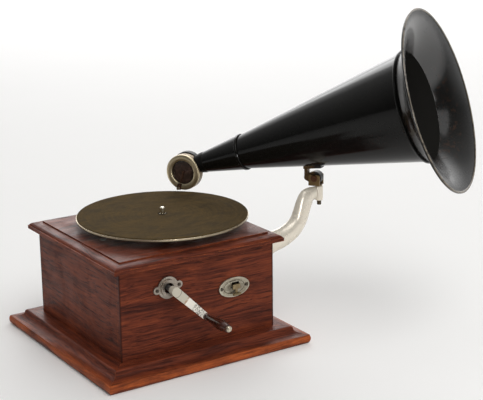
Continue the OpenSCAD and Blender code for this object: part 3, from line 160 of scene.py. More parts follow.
class HornLook(bpy.types.PropertyGroup):
    """Sizes and colours of the horn."""

    black: colour("Black", "Colour of the horn's stoved varnish", (18, 18, 17))
    dust: colour("Dust", "Colour of the dust and haze on the varnish", (120, 112, 102))
    rim: length("Rim wire", "Radius of the wire rolled into the mouth's rim", 0.002)
    bead: length("Bead wire", "Radius of the bead between the cone and the bell", 0.0019)
    steps: IntProperty(name="Segments", description="Faces round the horn", min=48, max=256, default=192)
    haze: share("Haze", "How much dust and haze lies on the varnish", 0.3)


class MetalLook(bpy.types.PropertyGroup):
    """Colours of the metal fittings."""

    nickel: colour("Nickel", "Colour of the nickel plating", (214, 206, 186))
    stain: colour("Stain", "Colour of the stains and thin rust on the plating", (104, 74, 44))
    steel: colour("Steel", "Colour of the dull steel fittings", (150, 148, 146))
    brass: colour("Brass", "Colour of the darkened brass", (152, 122, 74))
    alloy: colour("Arm", "Colour of the cast arm's finish", (246, 237, 220))
    edge: length("Edge rounding", "Radius of the fittings' rubbed edges", 0.00025)


class TurntableLook(bpy.types.PropertyGroup):
    """Sizes and colours of the turntable."""

    felt: colour("Felt", "Main colour of the felt", (88, 70, 38))
    worn: colour("Worn felt", "Colour of the felt where records have rubbed it", (60, 48, 27))
    rim: length("Rim rounding", "Radius of the pan's rim", 0.0009)
    felt_edge: length("Felt edge", "Radius of the felt's soft edge", 0.0006)


class StageLook(bpy.types.PropertyGroup):
    """Floor and light."""

    floor: colour("Floor", "Colour of the floor under the object", (250, 249, 247))
    far_floor: colour("Far floor", "Colour of the floor further off", (246, 245, 244))
    key: power("Key light", "Power of the large light", 45)
    back: power("Back light", "Power of the light behind", 63)
    side: power("Floor light", "Power of the light on the floor at the right", 24)
    glint: power("Low light", "Power of the low front light", 14)
    sky: share("Room light", "Strength of the light from all round", 0.66)


# Shader nodes


def feed(tree, socket, value):
    """Links a socket to the input, or sets the input's own value."""
    if isinstance(value, bpy.types.NodeSocket):
        tree.links.new(value, socket)
    else:
        socket.default_value = value


def add(tree, kind, feeds=None, **settings):
    """Adds a shader node with its settings, and feeds its inputs."""
    made = tree.nodes.new("ShaderNode" + kind)
    for name, value in settings.items():
        setattr(made, name, value)
    for key, value in (feeds or {}).items():
        feed(tree, made.inputs[key], value)
    return made


def calc(tree, operation, *values):
    made = add(tree, "Math", dict(enumerate(values)), operation=operation)
    return made.outputs[0]


def times(tree, first, second):
    return calc(tree, "MULTIPLY", first, second)


def vector_calc(tree, operation, *values):
    made = add(tree, "VectorMath", dict(enumerate(values)), operation=operation)
    return made.outputs["Value" if operation in ("LENGTH", "DOT_PRODUCT") else "Vector"]


def colour_mix(tree, amount, first, second, kind="MIX"):
    made = add(tree, "Mix", {0: amount, 6: first, 7: second}, data_type="RGBA", blend_type=kind)
    return made.outputs[2]


def blend(tree, amount, first, second):
    """A mix of two numbers."""
    return add(tree, "Mix", {0: amount, 2: first, 3: second}).outputs[0]


def stretch(tree, value, low, high, to_low=0.0, to_high=1.0):
    """Maps low to high onto another span, and holds it there."""
    made = add(tree, "MapRange", {0: value, 1: low, 2: high, 3: to_low, 4: to_high}, clamp=True)
    return made.outputs[0]


def cloud(tree, place, scale, detail=3.0, roughness=0.55, distortion=0.0):
    sizes = {"Scale": scale, "Detail": detail, "Roughness": roughness, "Distortion": distortion}
    return add(tree, "TexNoise", {"Vector": place, **sizes}).outputs[0]


def scaled(tree, place, sizes):
    """The place, drawn out by a factor on each axis."""
    return add(tree, "Mapping", {"Vector": place, "Scale": sizes}).outputs[0]


def resized(tree, place, size):
    """The place, scaled by one number."""
    return add(tree, "VectorMath", {0: place, "Scale": size}, operation="SCALE").outputs[0]


def opaque(rgb):
    return (*rgb, 1.0)


def grey(tree, value):
    return add(tree, "CombineColor", {0: value, 1: value, 2: value}).outputs[0]


def new_group(name, place, numbers, outs, kind="Float"):
    """A node group that takes a place and some numbers, and gives values of one kind."""
    tree = bpy.data.node_groups.new(name, "ShaderNodeTree")
    tree.interface.new_socket(place, in_out="INPUT", socket_type="NodeSocketVector")
    for label, value in numbers.items():
        socket = tree.interface.new_socket(label, in_out="INPUT", socket_type="NodeSocketFloat")
        socket.default_value = value
    for label in outs:
        tree.interface.new_socket(label, in_out="OUTPUT", socket_type="NodeSocket" + kind)
    start = tree.nodes.new("NodeGroupInput").outputs
    end = tree.nodes.new("NodeGroupOutput").inputs
    return tree, start, end


def grain_direction():
    """Turns a place so that its first axis runs along the grain of the case's nearest side."""
    tree, start, end = new_group("Grain direction", "Place", {"Field": 0.0}, ["Along"], "Vector")
    x, y, z = add(tree, "SeparateXYZ", {0: start["Place"]}).outputs
    far_x, far_y = calc(tree, "ABSOLUTE", x), calc(tree, "ABSOLUTE", y)
    at_edge = calc(tree, "GREATER_THAN", calc(tree, "MAXIMUM", far_x, far_y), start["Field"])
    side = times(tree, calc(tree, "GREATER_THAN", far_x, far_y), at_edge)
    turned = add(tree, "CombineXYZ", {0: y, 1: x, 2: z}).outputs[0]
    pick = add(tree, "Mix", {0: side, 4: start["Place"], 5: turned}, data_type="VECTOR").outputs[1]
    sign = blend(tree, side, calc(tree, "SIGN", y), calc(tree, "SIGN", x))
    # Each side has a number of its own, which moves its figure away from its neighbours'
    board = times(tree, calc(tree, "MULTIPLY_ADD", side, 3.0, sign), at_edge)
    shift = add(tree, "CombineXYZ", {0: times(tree, board, 0.37), 2: board}).outputs[0]
    feed(tree, end["Along"], vector_calc(tree, "ADD", pick, shift))
    return tree


def wood_figure():
    """The tone, pores and relief of a sawn board whose grain runs along the first axis."""
    tree, start, end = new_group("Wood figure", "Along", {"Size": 1.0}, ["Tone", "Pores", "Relief"])
    place = resized(tree, start["Along"], start["Size"])
    wander = cloud(tree, scaled(tree, place, (5, 14, 14)), 1.0, 2.0)
    sway = times(tree, wander, 0.03)
    bend = add(tree, "CombineXYZ", {1: sway, 2: sway})
    bent = vector_calc(tree, "ADD", place, bend.outputs[0])
    wide = cloud(tree, scaled(tree, bent, (4, 75, 75)), 1.0, 3.0, 0.6, 0.4)
    streak = cloud(tree, scaled(tree, bent, (15, 360, 360)), 1.0, 3.0, 0.65, 0.3)
    fine = cloud(tree, scaled(tree, bent, (50, 1300, 1300)), 1.0, 2.0, 0.6)
    tone = blend(tree, 0.52, wide, streak)
    tone = blend(tree, 0.18, tone, fine)
    feed(tree, end["Tone"], stretch(tree, tone, 0.34, 0.66))
    dash = cloud(tree, scaled(tree, bent, (38, 560, 560)), 1.0, 2.0, 0.5)
    crowd = stretch(tree, streak, 0.3, 0.7, 1.15, 0.8)
    pores = stretch(tree, times(tree, dash, crowd), 0.56, 0.64)
    feed(tree, end["Pores"], pores)
    feed(tree, end["Relief"], calc(tree, "SUBTRACT", times(tree, tone, 0.3), pores))
    return tree


def edge_wear():
    """A mask of the edges that hands and time have rubbed."""
    tree, start, end = new_group("Edge wear", "Place", {"Width": 0.001, "Patches": 90.0}, ["Mask"])
    rounded = add(tree, "Bevel", {"Radius": start["Width"]}, samples=4).outputs[0]
    flat = add(tree, "NewGeometry").outputs["Normal"]
    turn = calc(tree, "SUBTRACT", 1.0, vector_calc(tree, "DOT_PRODUCT", rounded, flat))
    edge = stretch(tree, turn, 0.01, 0.12)
    patch = stretch(tree, cloud(tree, start["Place"], start["Patches"], 4.0, 0.65), 0.42, 0.62)
    feed(tree, end["Mask"], times(tree, edge, patch))
    return tree


def surface_age():
    """Patches of grime, fine speckle and hair scratches, each from 0 to 1."""
    tree, start, end = new_group("Surface age", "Place", {"Size": 1.0}, ["Patches", "Speckle", "Scratches"])
    place = resized(tree, start["Place"], start["Size"])
    feed(tree, end["Patches"], stretch(tree, cloud(tree, place, 60.0, 5.0, 0.62, 0.4), 0.42, 0.66))
    feed(tree, end["Speckle"], stretch(tree, cloud(tree, place, 900.0, 2.0, 0.6), 0.6, 0.72))
    marks = 0.0
    for turn in (0.3, 1.4, 2.5):
        laid = {"Rotation": (turn, 0.4 * turn, turn), "Scale": (25, 1400, 900)}
        turned = add(tree, "Mapping", {"Vector": place, **laid}).outputs[0]
        line = stretch(tree, cloud(tree, turned, 1.0, 1.0, 0.5), 0.68, 0.74)
        marks = calc(tree, "MAXIMUM", line, marks)
    feed(tree, end["Scratches"], marks)
    return tree


def felt_nap():
    """Tone and height of pressed felt, with the rings that records rub into it."""
    tree, start, end = new_group("Felt nap", "Place", {}, ["Tone", "Rubbed", "Height"])
    place = start["Place"]
    fibre = cloud(tree, place, 1700.0, 3.0, 0.7, 1.2)
    clump = cloud(tree, place, 420.0, 4.0, 0.65, 0.6)
    feed(tree, end["Tone"], blend(tree, 0.4, fibre, clump))
    x, y = add(tree, "SeparateXYZ", {0: place}).outputs[:2]
    reach = calc(tree, "SQRT", calc(tree, "ADD", times(tree, x, x), times(tree, y, y)))
    outward, across = times(tree, reach, 3.0), times(tree, x, 0.25)
    ring_place = add(tree, "CombineXYZ", {0: outward, 1: across}).outputs[0]
    ring = cloud(tree, ring_place, 90.0, 4.0, 0.7)
    smear = cloud(tree, scaled(tree, place, (1, 2.2, 1)), 22.0, 5.0, 0.65, 0.8)
    feed(tree, end["Rubbed"], stretch(tree, blend(tree, 0.55, ring, smear), 0.4, 0.62))
    feed(tree, end["Height"], blend(tree, 0.35, fibre, clump))
    return tree


GROUP_MAKERS = {
    "grain": grain_direction,
    "figure": wood_figure,
    "wear": edge_wear,
    "age": surface_age,
    "nap": felt_nap,
}
GROUPS = {}
FINISHES = {}


def group(tree, name, **feeds):
    """Places one of the shared effects in a material's tree."""
    if name not in GROUPS:
        GROUPS[name] = GROUP_MAKERS[name]()
    made = tree.nodes.new("ShaderNodeGroup")
    made.node_tree = GROUPS[name]
    for label, value in feeds.items():
        feed(tree, made.inputs[label.capitalize()], value)
    return made.outputs


def new_finish(name, centre=(0, 0, 0)):
    """A material, its tree, its Principled shader and the place on the piece, measured from a centre."""
    made = bpy.data.materials.new(name)
    made.use_nodes = True
    tree = made.node_tree
    shader = next(n for n in tree.nodes if n.type == "BSDF_PRINCIPLED")
    place = add(tree, "TexCoord").outputs["Object"]
    if any(centre):
        place = add(tree, "Mapping", {"Vector": place, "Location": centre}, vector_type="TEXTURE").outputs[0]
    return made, tree, shader, place


def dress(tree, shader, **feeds):
    """Feeds the shader's sockets: underscores in the names stand for spaces."""
    for label, value in feeds.items():
        words = [word.upper() if word == "ior" else word.capitalize() for word in label.split("_")]
        feed(tree, shader.inputs[" ".join(words)], value)


def relief(tree, shader, height, depth):
    bump = add(tree, "Bump", {"Height": height, "Distance": depth})
    feed(tree, shader.inputs["Normal"], bump.outputs[0])


def height_of(tree, place):
    """The upward part of a place or a direction."""
    return add(tree, "SeparateXYZ", {0: place}).outputs[2]


def along(tree, place, origin, way):
    """How far a place lies from the origin in a direction."""
    return vector_calc(tree, "DOT_PRODUCT", vector_calc(tree, "SUBTRACT", place, origin), way)


def reach_from(tree, place, origin, sizes=(1, 1, 1)):
    """How far a place lies from the origin, with each axis weighed by its own factor."""
    offset = vector_calc(tree, "SUBTRACT", place, origin)
    return vector_calc(tree, "LENGTH", vector_calc(tree, "MULTIPLY", offset, sizes))


def band(tree, value, low, high, soft):
    """One from low to high, fading to nothing beyond."""
    rise = stretch(tree, value, low - soft, low)
    return times(tree, rise, stretch(tree, value, high, high + soft, 1, 0))


def patchy(tree, mask, place, scale, low=0.42, high=0.6):
    """The mask, broken up into patches."""
    return times(tree, mask, stretch(tree, cloud(tree, place, scale, 4.0, 0.65), low, high))


def mixed(tree, mask, weight, tone, rgb):
    """The tone, mixed with a linear colour as far as the mask says."""
    return colour_mix(tree, times(tree, mask, weight), tone, opaque(rgb))


def tinted(tree, mask, weight, tone, screen):
    """The tone, mixed with a screen colour as far as the mask says."""
    return mixed(tree, mask, weight, tone, from_screen(*screen))


def two_tone(tree, amount, first, second):
    """A mix of two screen colours."""
    return colour_mix(tree, amount, opaque(from_screen(*first)), opaque(from_screen(*second)))


def polished_oak(name, field=0.0, corner=0.0, nose=0.0):
    """Stained oak: its grain runs round a field, its corner joints have painted shade and its nose rubbed
    polish with a painted highlight, if given.
    """
    look = bpy.context.scene.case_look
    made, tree, shader, place = new_finish(name)
    grain = group(tree, "grain", place=place, field=field)["Along"]
    figure = group(tree, "figure", along=grain)
    toned = add(tree, "ValToRGB", {0: figure["Tone"]})
    stops = toned.color_ramp.elements
    stops[0].color, stops[1].color = opaque(look.dark), opaque(look.light)
    stops.new(0.45).color = opaque(look.middle)
    age = group(tree, "age", place=place, size=0.4)
    wear = group(tree, "wear", place=place, width=2 * look.edge, patches=120.0)["Mask"]
    wood = mixed(tree, figure["Pores"], 0.6, toned.outputs[0], look.dark)
    wood = mixed(tree, age["Patches"], 0.28, wood, look.dark)
    wood = mixed(tree, wear, 0.7, wood, look.worn)
    if corner:
        # Painted shade in the groove at the case's corner joints
        x, y = add(tree, "SeparateXYZ", {0: place}).outputs[:2]
        inward = calc(tree, "MINIMUM", calc(tree, "ABSOLUTE", x), calc(tree, "ABSOLUTE", y))
        joint_shade = stretch(tree, inward, corner - JOINT_START, corner - JOINT_END, 0, 0.8)
        wood = colour_mix(tree, joint_shade, wood, opaque(look.dark))
    if nose:
        # Rubbed polish and a painted highlight along the plinth's nose, both in the worn colour
        rubbed = band(tree, height_of(tree, place), 0.003, nose, 0.0015)
        rubbed = times(tree, rubbed, stretch(tree, figure["Tone"], 0.1, 0.8))
        rubbed = patchy(tree, rubbed, place, 30.0, 0.2, 0.55)
        wood = mixed(tree, rubbed, 0.85, wood, look.worn)
    dress(tree, shader, base_color=wood, roughness=stretch(tree, age["Patches"], 0, 1, 0.34, 0.52))
    dress(tree, shader, specular_ior_level=0.07, coat_weight=look.gloss, coat_roughness=0.25)
    relief(tree, shader, figure["Relief"], 0.00012)
    return made


def dark_grip(name):
    """Dark turned wood, with its grain along the handle."""
    look = bpy.context.scene.case_look
    made, tree, shader, place = new_finish(name)
    turned = add(tree, "Mapping", {"Vector": place, "Rotation": (0, 0, math.pi / 2)}).outputs[0]
    figure = group(tree, "figure", along=turned)
    wood = two_tone(tree, figure["Tone"], (24, 12, 9), (84, 40, 25))
    wood = tinted(tree, figure["Pores"], 1.0, wood, (14, 9, 8))
    wear = group(tree, "wear", place=place, width=look.edge, patches=200.0)["Mask"]
    wood = mixed(tree, wear, 0.4, wood, look.worn)
    dress(tree, shader, base_color=wood, roughness=stretch(tree, figure["Tone"], 0, 1, 0.2, 0.34))
    dress(tree, shader, coat_weight=0.4, coat_roughness=0.14)
    relief(tree, shader, figure["Relief"], 0.00004)
    return made


def painted_light_in_cone(tree, place):
    """A mask of the cone's inner face, which lies within its outer wall; the varnish there is painted paler,
    to stand in for light inside the horn.
    """
    zero, way = horn_place().translation, horn_place().col[2].xyz
    far, depth = reach_from(tree, place, zero), along(tree, place, zero, way)
    squares = calc(tree, "SUBTRACT", times(tree, far, far), times(tree, depth, depth))
    wall = calc(tree, "MULTIPLY_ADD", depth, CONE_SLOPE, cone_radius(0) * MM)
    return stretch(tree, calc(tree, "SUBTRACT", wall, calc(tree, "SQRT", squares)), 0.0003, 0.0005)


def mouth_wear(tree, place, tone):
    """Rust in the bell's throat and bare metal on its rim; its polish is best at the top and the bottom."""
    zero, way = horn_place().translation, horn_place().col[2].xyz
    depth = along(tree, place, zero, way)
    rust = patchy(tree, band(tree, depth, 0.159, 0.18, 0.008), place, 150.0, 0.54, 0.72)
    tone = tinted(tree, rust, 0.5, tone, (70, 46, 32))
    rim = MOUTH_AT * MM
    rubbed = patchy(tree, stretch(tree, depth, rim - 0.0016, rim - 0.0006), place, 120.0, 0.3, 0.55)
    tone = tinted(tree, rubbed, 0.6, tone, (150, 138, 120))
    height = calc(tree, "SUBTRACT", height_of(tree, place), zero.z)
    top = stretch(tree, height, 0.03, 0.075, 0.25, 1.0)
    return tone, calc(tree, "MAXIMUM", top, stretch(tree, height, -0.09, -0.035, 0.7, 0.25))


def black_varnish(name, specular=0.2, part="", dull=0.0):
    """Stoved black varnish with dust on what faces up, worn edges, scratches and a slight orange peel."""
    look = bpy.context.scene.horn_look
    made, tree, shader, place = new_finish(name)
    age = group(tree, "age", place=place, size=0.35)
    up = height_of(tree, add(tree, "NewGeometry").outputs["Normal"])
    thick = stretch(tree, age["Patches"], 0, 1, 0.35, 1)
    settled = times(tree, stretch(tree, up, 0.1, 0.9), thick)
    haze = times(tree, settled, 0.1 * look.haze)
    dusty = calc(tree, "ADD", haze, times(tree, age["Speckle"], 0.06 * look.haze))
    wear = group(tree, "wear", place=place, width=0.0008, patches=160.0)["Mask"]
    tone = colour_mix(tree, dusty, opaque(look.black), opaque(look.dust))
    tone = tinted(tree, wear, 0.35, tone, (94, 78, 60))
    rough = stretch(tree, age["Patches"], 0, 1, 0.1, 0.19)
    rough = calc(tree, "ADD", rough, calc(tree, "MULTIPLY_ADD", age["Scratches"], 0.1, dull))
    if part == "cone":
        # The cone's inside is painted a paler grey: painted light inside the horn
        tone = tinted(tree, painted_light_in_cone(tree, place), 0.9, tone, (38, 37, 35))
    if part == "mouth":
        tone, specular = mouth_wear(tree, place, tone)
    dress(tree, shader, base_color=tone, roughness=rough, specular_ior_level=specular)
    peel = cloud(tree, place, 190.0, 2.0, 0.5)
    relief(tree, shader, calc(tree, "ADD", peel, times(tree, age["Scratches"], -0.1)), 0.00003)
    return made


def worn_bracket(name):
    """Black varnish that has rubbed down to brown brass on the bracket's pad and stem."""
    made, tree, shader, place = new_finish(name)
    age = group(tree, "age", place=place, size=1.6)
    forward = horn_place().col[2].xy.to_3d().normalized()
    side = along(tree, place, SWIVEL, forward)
    bare = patchy(tree, stretch(tree, side, -0.009, -0.003, 1, 0), place, 240.0, 0.3, 0.5)
    wear = group(tree, "wear", place=place, width=0.0008, patches=220.0)["Mask"]
    bare = calc(tree, "MAXIMUM", bare, times(tree, wear, 0.7))
    black = two_tone(tree, age["Patches"], (16, 16, 17), (34, 31, 28))
    tone = tinted(tree, bare, 0.9, black, (104, 80, 50))
    dress(tree, shader, base_color=tone, metallic=times(tree, bare, 0.6))
    dress(tree, shader, roughness=stretch(tree, bare, 0, 1, 0.34, 0.42), specular_ior_level=0.3)
    relief(tree, shader, age["Patches"], 0.00005)
    return made


def pan_marks(tree, place, tone):
    """Darker on the pan's side, under its bead."""
    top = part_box("turntable_pan")[1].z
    below = stretch(tree, height_of(tree, place), top - 0.0027, top - 0.0021, 1, 0)
    return tinted(tree, below, 0.85, tone, (52, 42, 32)), below


def blade_marks(tree, place, tone):
    """A dull end ringed by a line of painted shade, a line of rust, and stains by the handle."""
    turn = math.radians(CRANK_ANGLE)
    down = along(tree, place, CRANK_PLACE, (math.cos(turn), 0, -math.sin(turn)))
    hub = stretch(tree, down, HUB_END - 0.0007, HUB_END + 0.0008, 1, 0)
    tone = tinted(tree, hub, 0.7, tone, (172, 164, 142))
    # A circle of painted shade where the edge of a raised hub would be
    ring = reach_from(tree, place, CRANK_PLACE, (1, 0, 1))
    tone = tinted(tree, band(tree, ring, 0.0084, 0.0089, 0.0004), 0.7, tone, (78, 68, 54))
    line = patchy(tree, band(tree, down, HUB_END, HUB_END + 0.0016, 0.0012), place, 300.0, 0.3, 0.5)
    tone = tinted(tree, line, 0.8, tone, (150, 104, 54))
    stain = patchy(tree, band(tree, down, 0.041, 0.056, 0.004), place, 420.0, 0.46, 0.56)
    return tinted(tree, stain, 0.75, tone, (84, 72, 56)), times(tree, hub, 0.8)


def plate_marks(tree, place, tone):
    """Darker in the oval plate's dish, round the slot and along a line inside its lip."""
    low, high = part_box("control_plate")
    middle = (low + high) / 2
    out = reach_from(tree, place, middle, (2 / (high.x - low.x), 0, 2 / (high.z - low.z)))
    dish = patchy(tree, stretch(tree, out, 0.88, 0.8), place, 260.0, 0.35, 0.6)
    tone = tinted(tree, dish, 0.5, tone, (96, 84, 66))
    line = patchy(tree, band(tree, out, 0.66, 0.7, 0.02), place, 200.0, 0.3, 0.45)
    tone = tinted(tree, line, 0.75, tone, (70, 60, 48))
    slot = stretch(tree, reach_from(tree, place, middle, (0.6, 0, 1.6)), 0.006, 0.0105, 1, 0)
    return tinted(tree, slot, 0.55, tone, (74, 62, 46)), times(tree, slot, 0.6)


def boss_marks(tree, place, tone):
    """A broken brown seam where the arm runs into its boss."""
    ring = reach_from(tree, place, SWIVEL, (1, 1, 0))
    seam = band(tree, ring, BOSS_RADIUS + 0.0008, BOSS_RADIUS + 0.0016, 0.0004)
    tone = tinted(tree, patchy(tree, seam, place, 90.0, 0.2, 0.5), 0.55, tone, (120, 98, 70))
    return tone, seam


def fork_marks(tree, place, tone):
    """The dark end of the fork's pin, under the arm."""
    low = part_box("swivel_fork")[0].z
    end = stretch(tree, height_of(tree, place), low + 0.008, low + 0.01, 1, 0)
    return tinted(tree, end, 0.75, tone, (56, 54, 46)), end


def plated(name, base, rough=(0.16, 0.42), stains=0.5, metallic=1.0, depth=0.00003, size=1.0, marks=None):
    """Nickel, steel, brass or another metal, with stains, dull patches and scratches."""
    look = bpy.context.scene.metal_look
    made, tree, shader, place = new_finish(name)
    age = group(tree, "age", place=place, size=size)
    broad = stretch(tree, cloud(tree, place, 45.0 * size, 4.0, 0.6), 0.35, 0.7)
    spots = times(tree, age["Speckle"], stretch(tree, broad, 0.3, 0.8))
    darkening = calc(tree, "MAXIMUM", times(tree, age["Patches"], 0.7), spots)
    tone = mixed(tree, darkening, stains, opaque(base), look.stain)
    tone = mixed(tree, broad, 0.16, tone, [0.6 * v for v in base])
    tone = mixed(tree, age["Scratches"], 0.25, tone, [min(1, 1.25 * v) for v in base])
    worn = calc(tree, "MAXIMUM", broad, age["Patches"])
    roughness = stretch(tree, worn, 0, 1, *rough)
    if marks:
        tone, dull = marks(tree, place, tone)
        roughness = blend(tree, dull, roughness, 0.6)
    dress(tree, shader, base_color=tone, roughness=roughness)
    dress(tree, shader, metallic=stretch(tree, darkening, 0, 1, metallic, metallic * (1 - 0.6 * stains)))
    lumps = calc(tree, "SUBTRACT", times(tree, age["Patches"], 0.5), age["Scratches"])
    relief(tree, shader, lumps, depth)
    return made


def felt_cloth(name, centre=(0, 0, 0), hole=0.0):
    """Pressed felt with rubbed rings, and painted shade round the hole for the spindle."""
    look = bpy.context.scene.turntable_look
    made, tree, shader, place = new_finish(name, centre)
    nap = group(tree, "nap", place=place)
    tone = colour_mix(tree, nap["Rubbed"], opaque(look.felt), opaque(look.worn))
    light = stretch(tree, nap["Tone"], 0.33, 0.67, 0.4, 1.6)
    tone = colour_mix(tree, 1.0, tone, grey(tree, light), "MULTIPLY")
    # Painted shade in a ring round the spindle's hole
    if hole:
        darkening = stretch(tree, vector_calc(tree, "LENGTH", place), hole, hole + 0.002, 1, 0)
        tone = tinted(tree, darkening, 0.7, tone, (26, 22, 17))
    dress(tree, shader, base_color=tone, roughness=stretch(tree, nap["Rubbed"], 0, 1, 1.0, 0.86))
    dress(tree, shader, sheen_weight=0.04, sheen_roughness=0.6, specular_ior_level=0.05)
    relief(tree, shader, nap["Height"], 0.0004)
    return made


def thin_mica(name):
    """Brown, cloudy mica, with painted shade toward its rim."""
    low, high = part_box("diaphragm")
    made, tree, shader, place = new_finish(name, tuple((low + high) / 2))
    age = group(tree, "age", place=place, size=2.0)
    tone = two_tone(tree, age["Patches"], (50, 38, 34), (84, 60, 52))
    # Painted shade toward the diaphragm's rim
    rim = stretch(tree, vector_calc(tree, "LENGTH", place), 0.013, 0.0185)
    tone = tinted(tree, rim, 0.75, tone, (28, 21, 18))
    rough = stretch(tree, age["Patches"], 0, 1, 0.14, 0.3)
    dress(tree, shader, base_color=tone, roughness=rough, coat_weight=0.4)
    relief(tree, shader, age["Patches"], 0.00004)
    return made


def old_rubber(name):
    made, tree, shader, place = new_finish(name)
    age = group(tree, "age", place=place, size=2.5)
    tone = two_tone(tree, age["Patches"], (26, 25, 25), (52, 48, 46))
    dress(tree, shader, base_color=tone, roughness=stretch(tree, age["Speckle"], 0, 1, 0.6, 0.8))
    relief(tree, shader, age["Patches"], 0.00005)
    return made


def make_finishes():
    """Builds every finish once; the finish of a material slot has the slot's own name."""
    metal = bpy.context.scene.metal_look
    low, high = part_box("turntable_felt")
    metals = {
        "nickel": ("Worn nickel", metal.nickel),
        "bright_nickel": ("Polished nickel", metal.nickel, (0.12, 0.3), 0.28),
        "box_nickel": ("Sound box nickel", from_screen(206, 192, 160), (0.3, 0.44), 0.35),
        "collar_nickel": ("Collar nickel", from_screen(172, 163, 152), (0.2, 0.38), 0.35),
        "lever_brass": ("Lever brass", from_screen(150, 134, 102), (0.26, 0.5), 0.5),
        # The sound box's side is a darker copy of its nickel: painted shade behind the ring
        "box_side": ("Sound box side", from_screen(112, 99, 80), (0.3, 0.5), 0.6),
        "stylus_steel": ("Stylus steel", from_screen(104, 78, 64), (0.35, 0.5), 0.4),
        "screw_steel": ("Dark screw steel", from_screen(96, 90, 82), (0.3, 0.5), 0.4),
        "screw_brass": ("Screw brass", from_screen(98, 62, 42), (0.35, 0.6), 0.5, 0.7),
        "steel": ("Dull steel", metal.steel, (0.34, 0.6), 0.3),
        "spring_steel": ("Blued spring steel", from_screen(92, 98, 112), (0.25, 0.45), 0.2),
        "brass": ("Darkened brass", metal.brass, (0.26, 0.55), 0.5),
        "weight_metal": ("Lead weight", from_screen(112, 112, 116), (0.5, 0.7), 0.3),
    }
    marked = {
        "pan_nickel": ("Turntable nickel", from_screen(198, 184, 158), (0.2, 0.4), 0.4, 1.0, pan_marks),
        # The crank's nickel is near white and barely metal: painted light for the bright floor that the blade
        # mirrors
        "blade_nickel": ("Crank nickel", from_screen(255, 250, 238), (0.28, 0.42), 0.12, 0.15, blade_marks),
        "plate_nickel": ("Plate nickel", from_screen(196, 190, 172), (0.3, 0.5), 0.5, 1.0, plate_marks),
        "fork_brass": ("Fork brass", from_screen(136, 114, 78), (0.3, 0.55), 0.6, 0.9, fork_marks),
    }
    for slot, row in metals.items():
        FINISHES[slot] = plated(*row)
    for slot, (*row, marks) in marked.items():
        FINISHES[slot] = plated(*row, marks=marks)
    alloy = plated("Arm finish", metal.alloy, (0.22, 0.3), 0.1, 0.25, 0.000008, 0.8, boss_marks)
    finishes = {
        "oak": polished_oak("Stained oak"),
        "panel": polished_oak("Stained oak panel", corner=CASE_HALF),
        "plinth": polished_oak("Stained oak plinth", nose=NOSE_TOP),
        "board": polished_oak("Stained oak board", field=FIELD_HALF),
        "grip_wood": dark_grip("Turned grip wood"),
        "arm_alloy": alloy,
        "black_japan": black_varnish("Black stoved varnish"),
        "mouth_japan": black_varnish("Varnish of the bell", part="mouth", dull=0.05),
        "cone_japan": black_varnish("Varnish of the cone", part="cone"),
        "elbow_japan": black_varnish("Varnish of the elbow", 0.1, dull=0.3),
        "bracket_japan": worn_bracket("Worn bracket varnish"),
        "felt": felt_cloth("Turntable felt", tuple((low + high) / 2), SPINDLE_SHADE),
        "pad_felt": felt_cloth("Brake pad felt"),
        "mica": thin_mica("Mica diaphragm"),
        "rubber": old_rubber("Gasket rubber"),
    }
    FINISHES.update(finishes)


# Meshes


def new_object(name, data):
    made = bpy.data.objects.new(name, data)
    bpy.context.scene.collection.objects.link(made)
    return made


def from_bmesh(bm, name):
    """An object with the mesh, which is freed."""
    mesh = bpy.data.meshes.new(name)
    bm.to_mesh(mesh)
    bm.free()
    return new_object(name, mesh)


def put_on(piece, finish):
    piece.data.materials.clear()
    piece.data.materials.append(FINISHES[finish])


def smooth_shade(bm, sharp):
    """Shades smooth, apart from the edges that turn by more than the sharp angle in degrees."""
    for face in bm.faces:
        face.smooth = True
    for edge in bm.edges:
        edge.smooth = len(edge.link_faces) == 2 and edge.calc_face_angle(0) < math.radians(sharp)


def finish_mesh(bm, name, node, finish=None, sharp=38, weighted=False):
    """Makes the object from its mesh, shades it, and lets it ride and stand for its CAD node."""
    smooth_shade(bm, sharp)
    piece = from_bmesh(bm, name)
    put_on(piece, finish or SLOTS[node])
    if weighted:
        piece.modifiers.new("Even shading", "WEIGHTED_NORMAL").keep_sharp = True
    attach(piece, BODY_OF[node])
    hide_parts(node)
    return piece


def cad_copy(node):
    """A mesh of the node with its loose triangles joined and its flat faces made whole."""
    bm = bmesh.new()
    bm.from_mesh(frame["nodes"][node].data)
    bmesh.ops.remove_doubles(bm, verts=bm.verts, dist=1e-6)
    bmesh.ops.dissolve_limit(bm, angle_limit=math.radians(0.4), verts=bm.verts, edges=bm.edges)
    return bm


def soften(bm, radius, sharp):
    """Rounds the edges that turn by more than the sharp angle in degrees."""
    corners = [edge for edge in bm.edges if edge.calc_face_angle(0) > math.radians(sharp)]
    arc = {"offset_type": "OFFSET", "segments": 2, "profile": 0.5}
    bmesh.ops.bevel(bm, geom=corners, offset=radius, affect="EDGES", material=-1, clamp_overlap=True, **arc)


def soft_piece(node, name, radius, finish=None, sharp=38):
    """A copy of a CAD node with rounded edges and smooth curves."""
    bm = cad_copy(node)
    if radius > 0:
        soften(bm, radius, sharp)
    return finish_mesh(bm, name, node, finish, sharp, weighted=True)


def spun(outline, steps, place):
    """A mesh spun about the place's Z from a closed outline of (radius, height) points in metres."""
    bm = bmesh.new()
    points = [bm.verts.new((radius, 0, height)) for radius, height in outline]
    edges = [bm.edges.new(pair) for pair in zip(points, points[1:] + points[:1])]
    turn = {"cent": (0, 0, 0), "axis": (0, 0, 1), "angle": 2 * math.pi, "steps": steps}
    bmesh.ops.spin(bm, geom=points + edges, use_merge=True, **turn)
    bmesh.ops.remove_doubles(bm, verts=bm.verts, dist=1e-6)
    bmesh.ops.recalc_face_normals(bm, faces=bm.faces)
    bm.transform(place)
    return bm


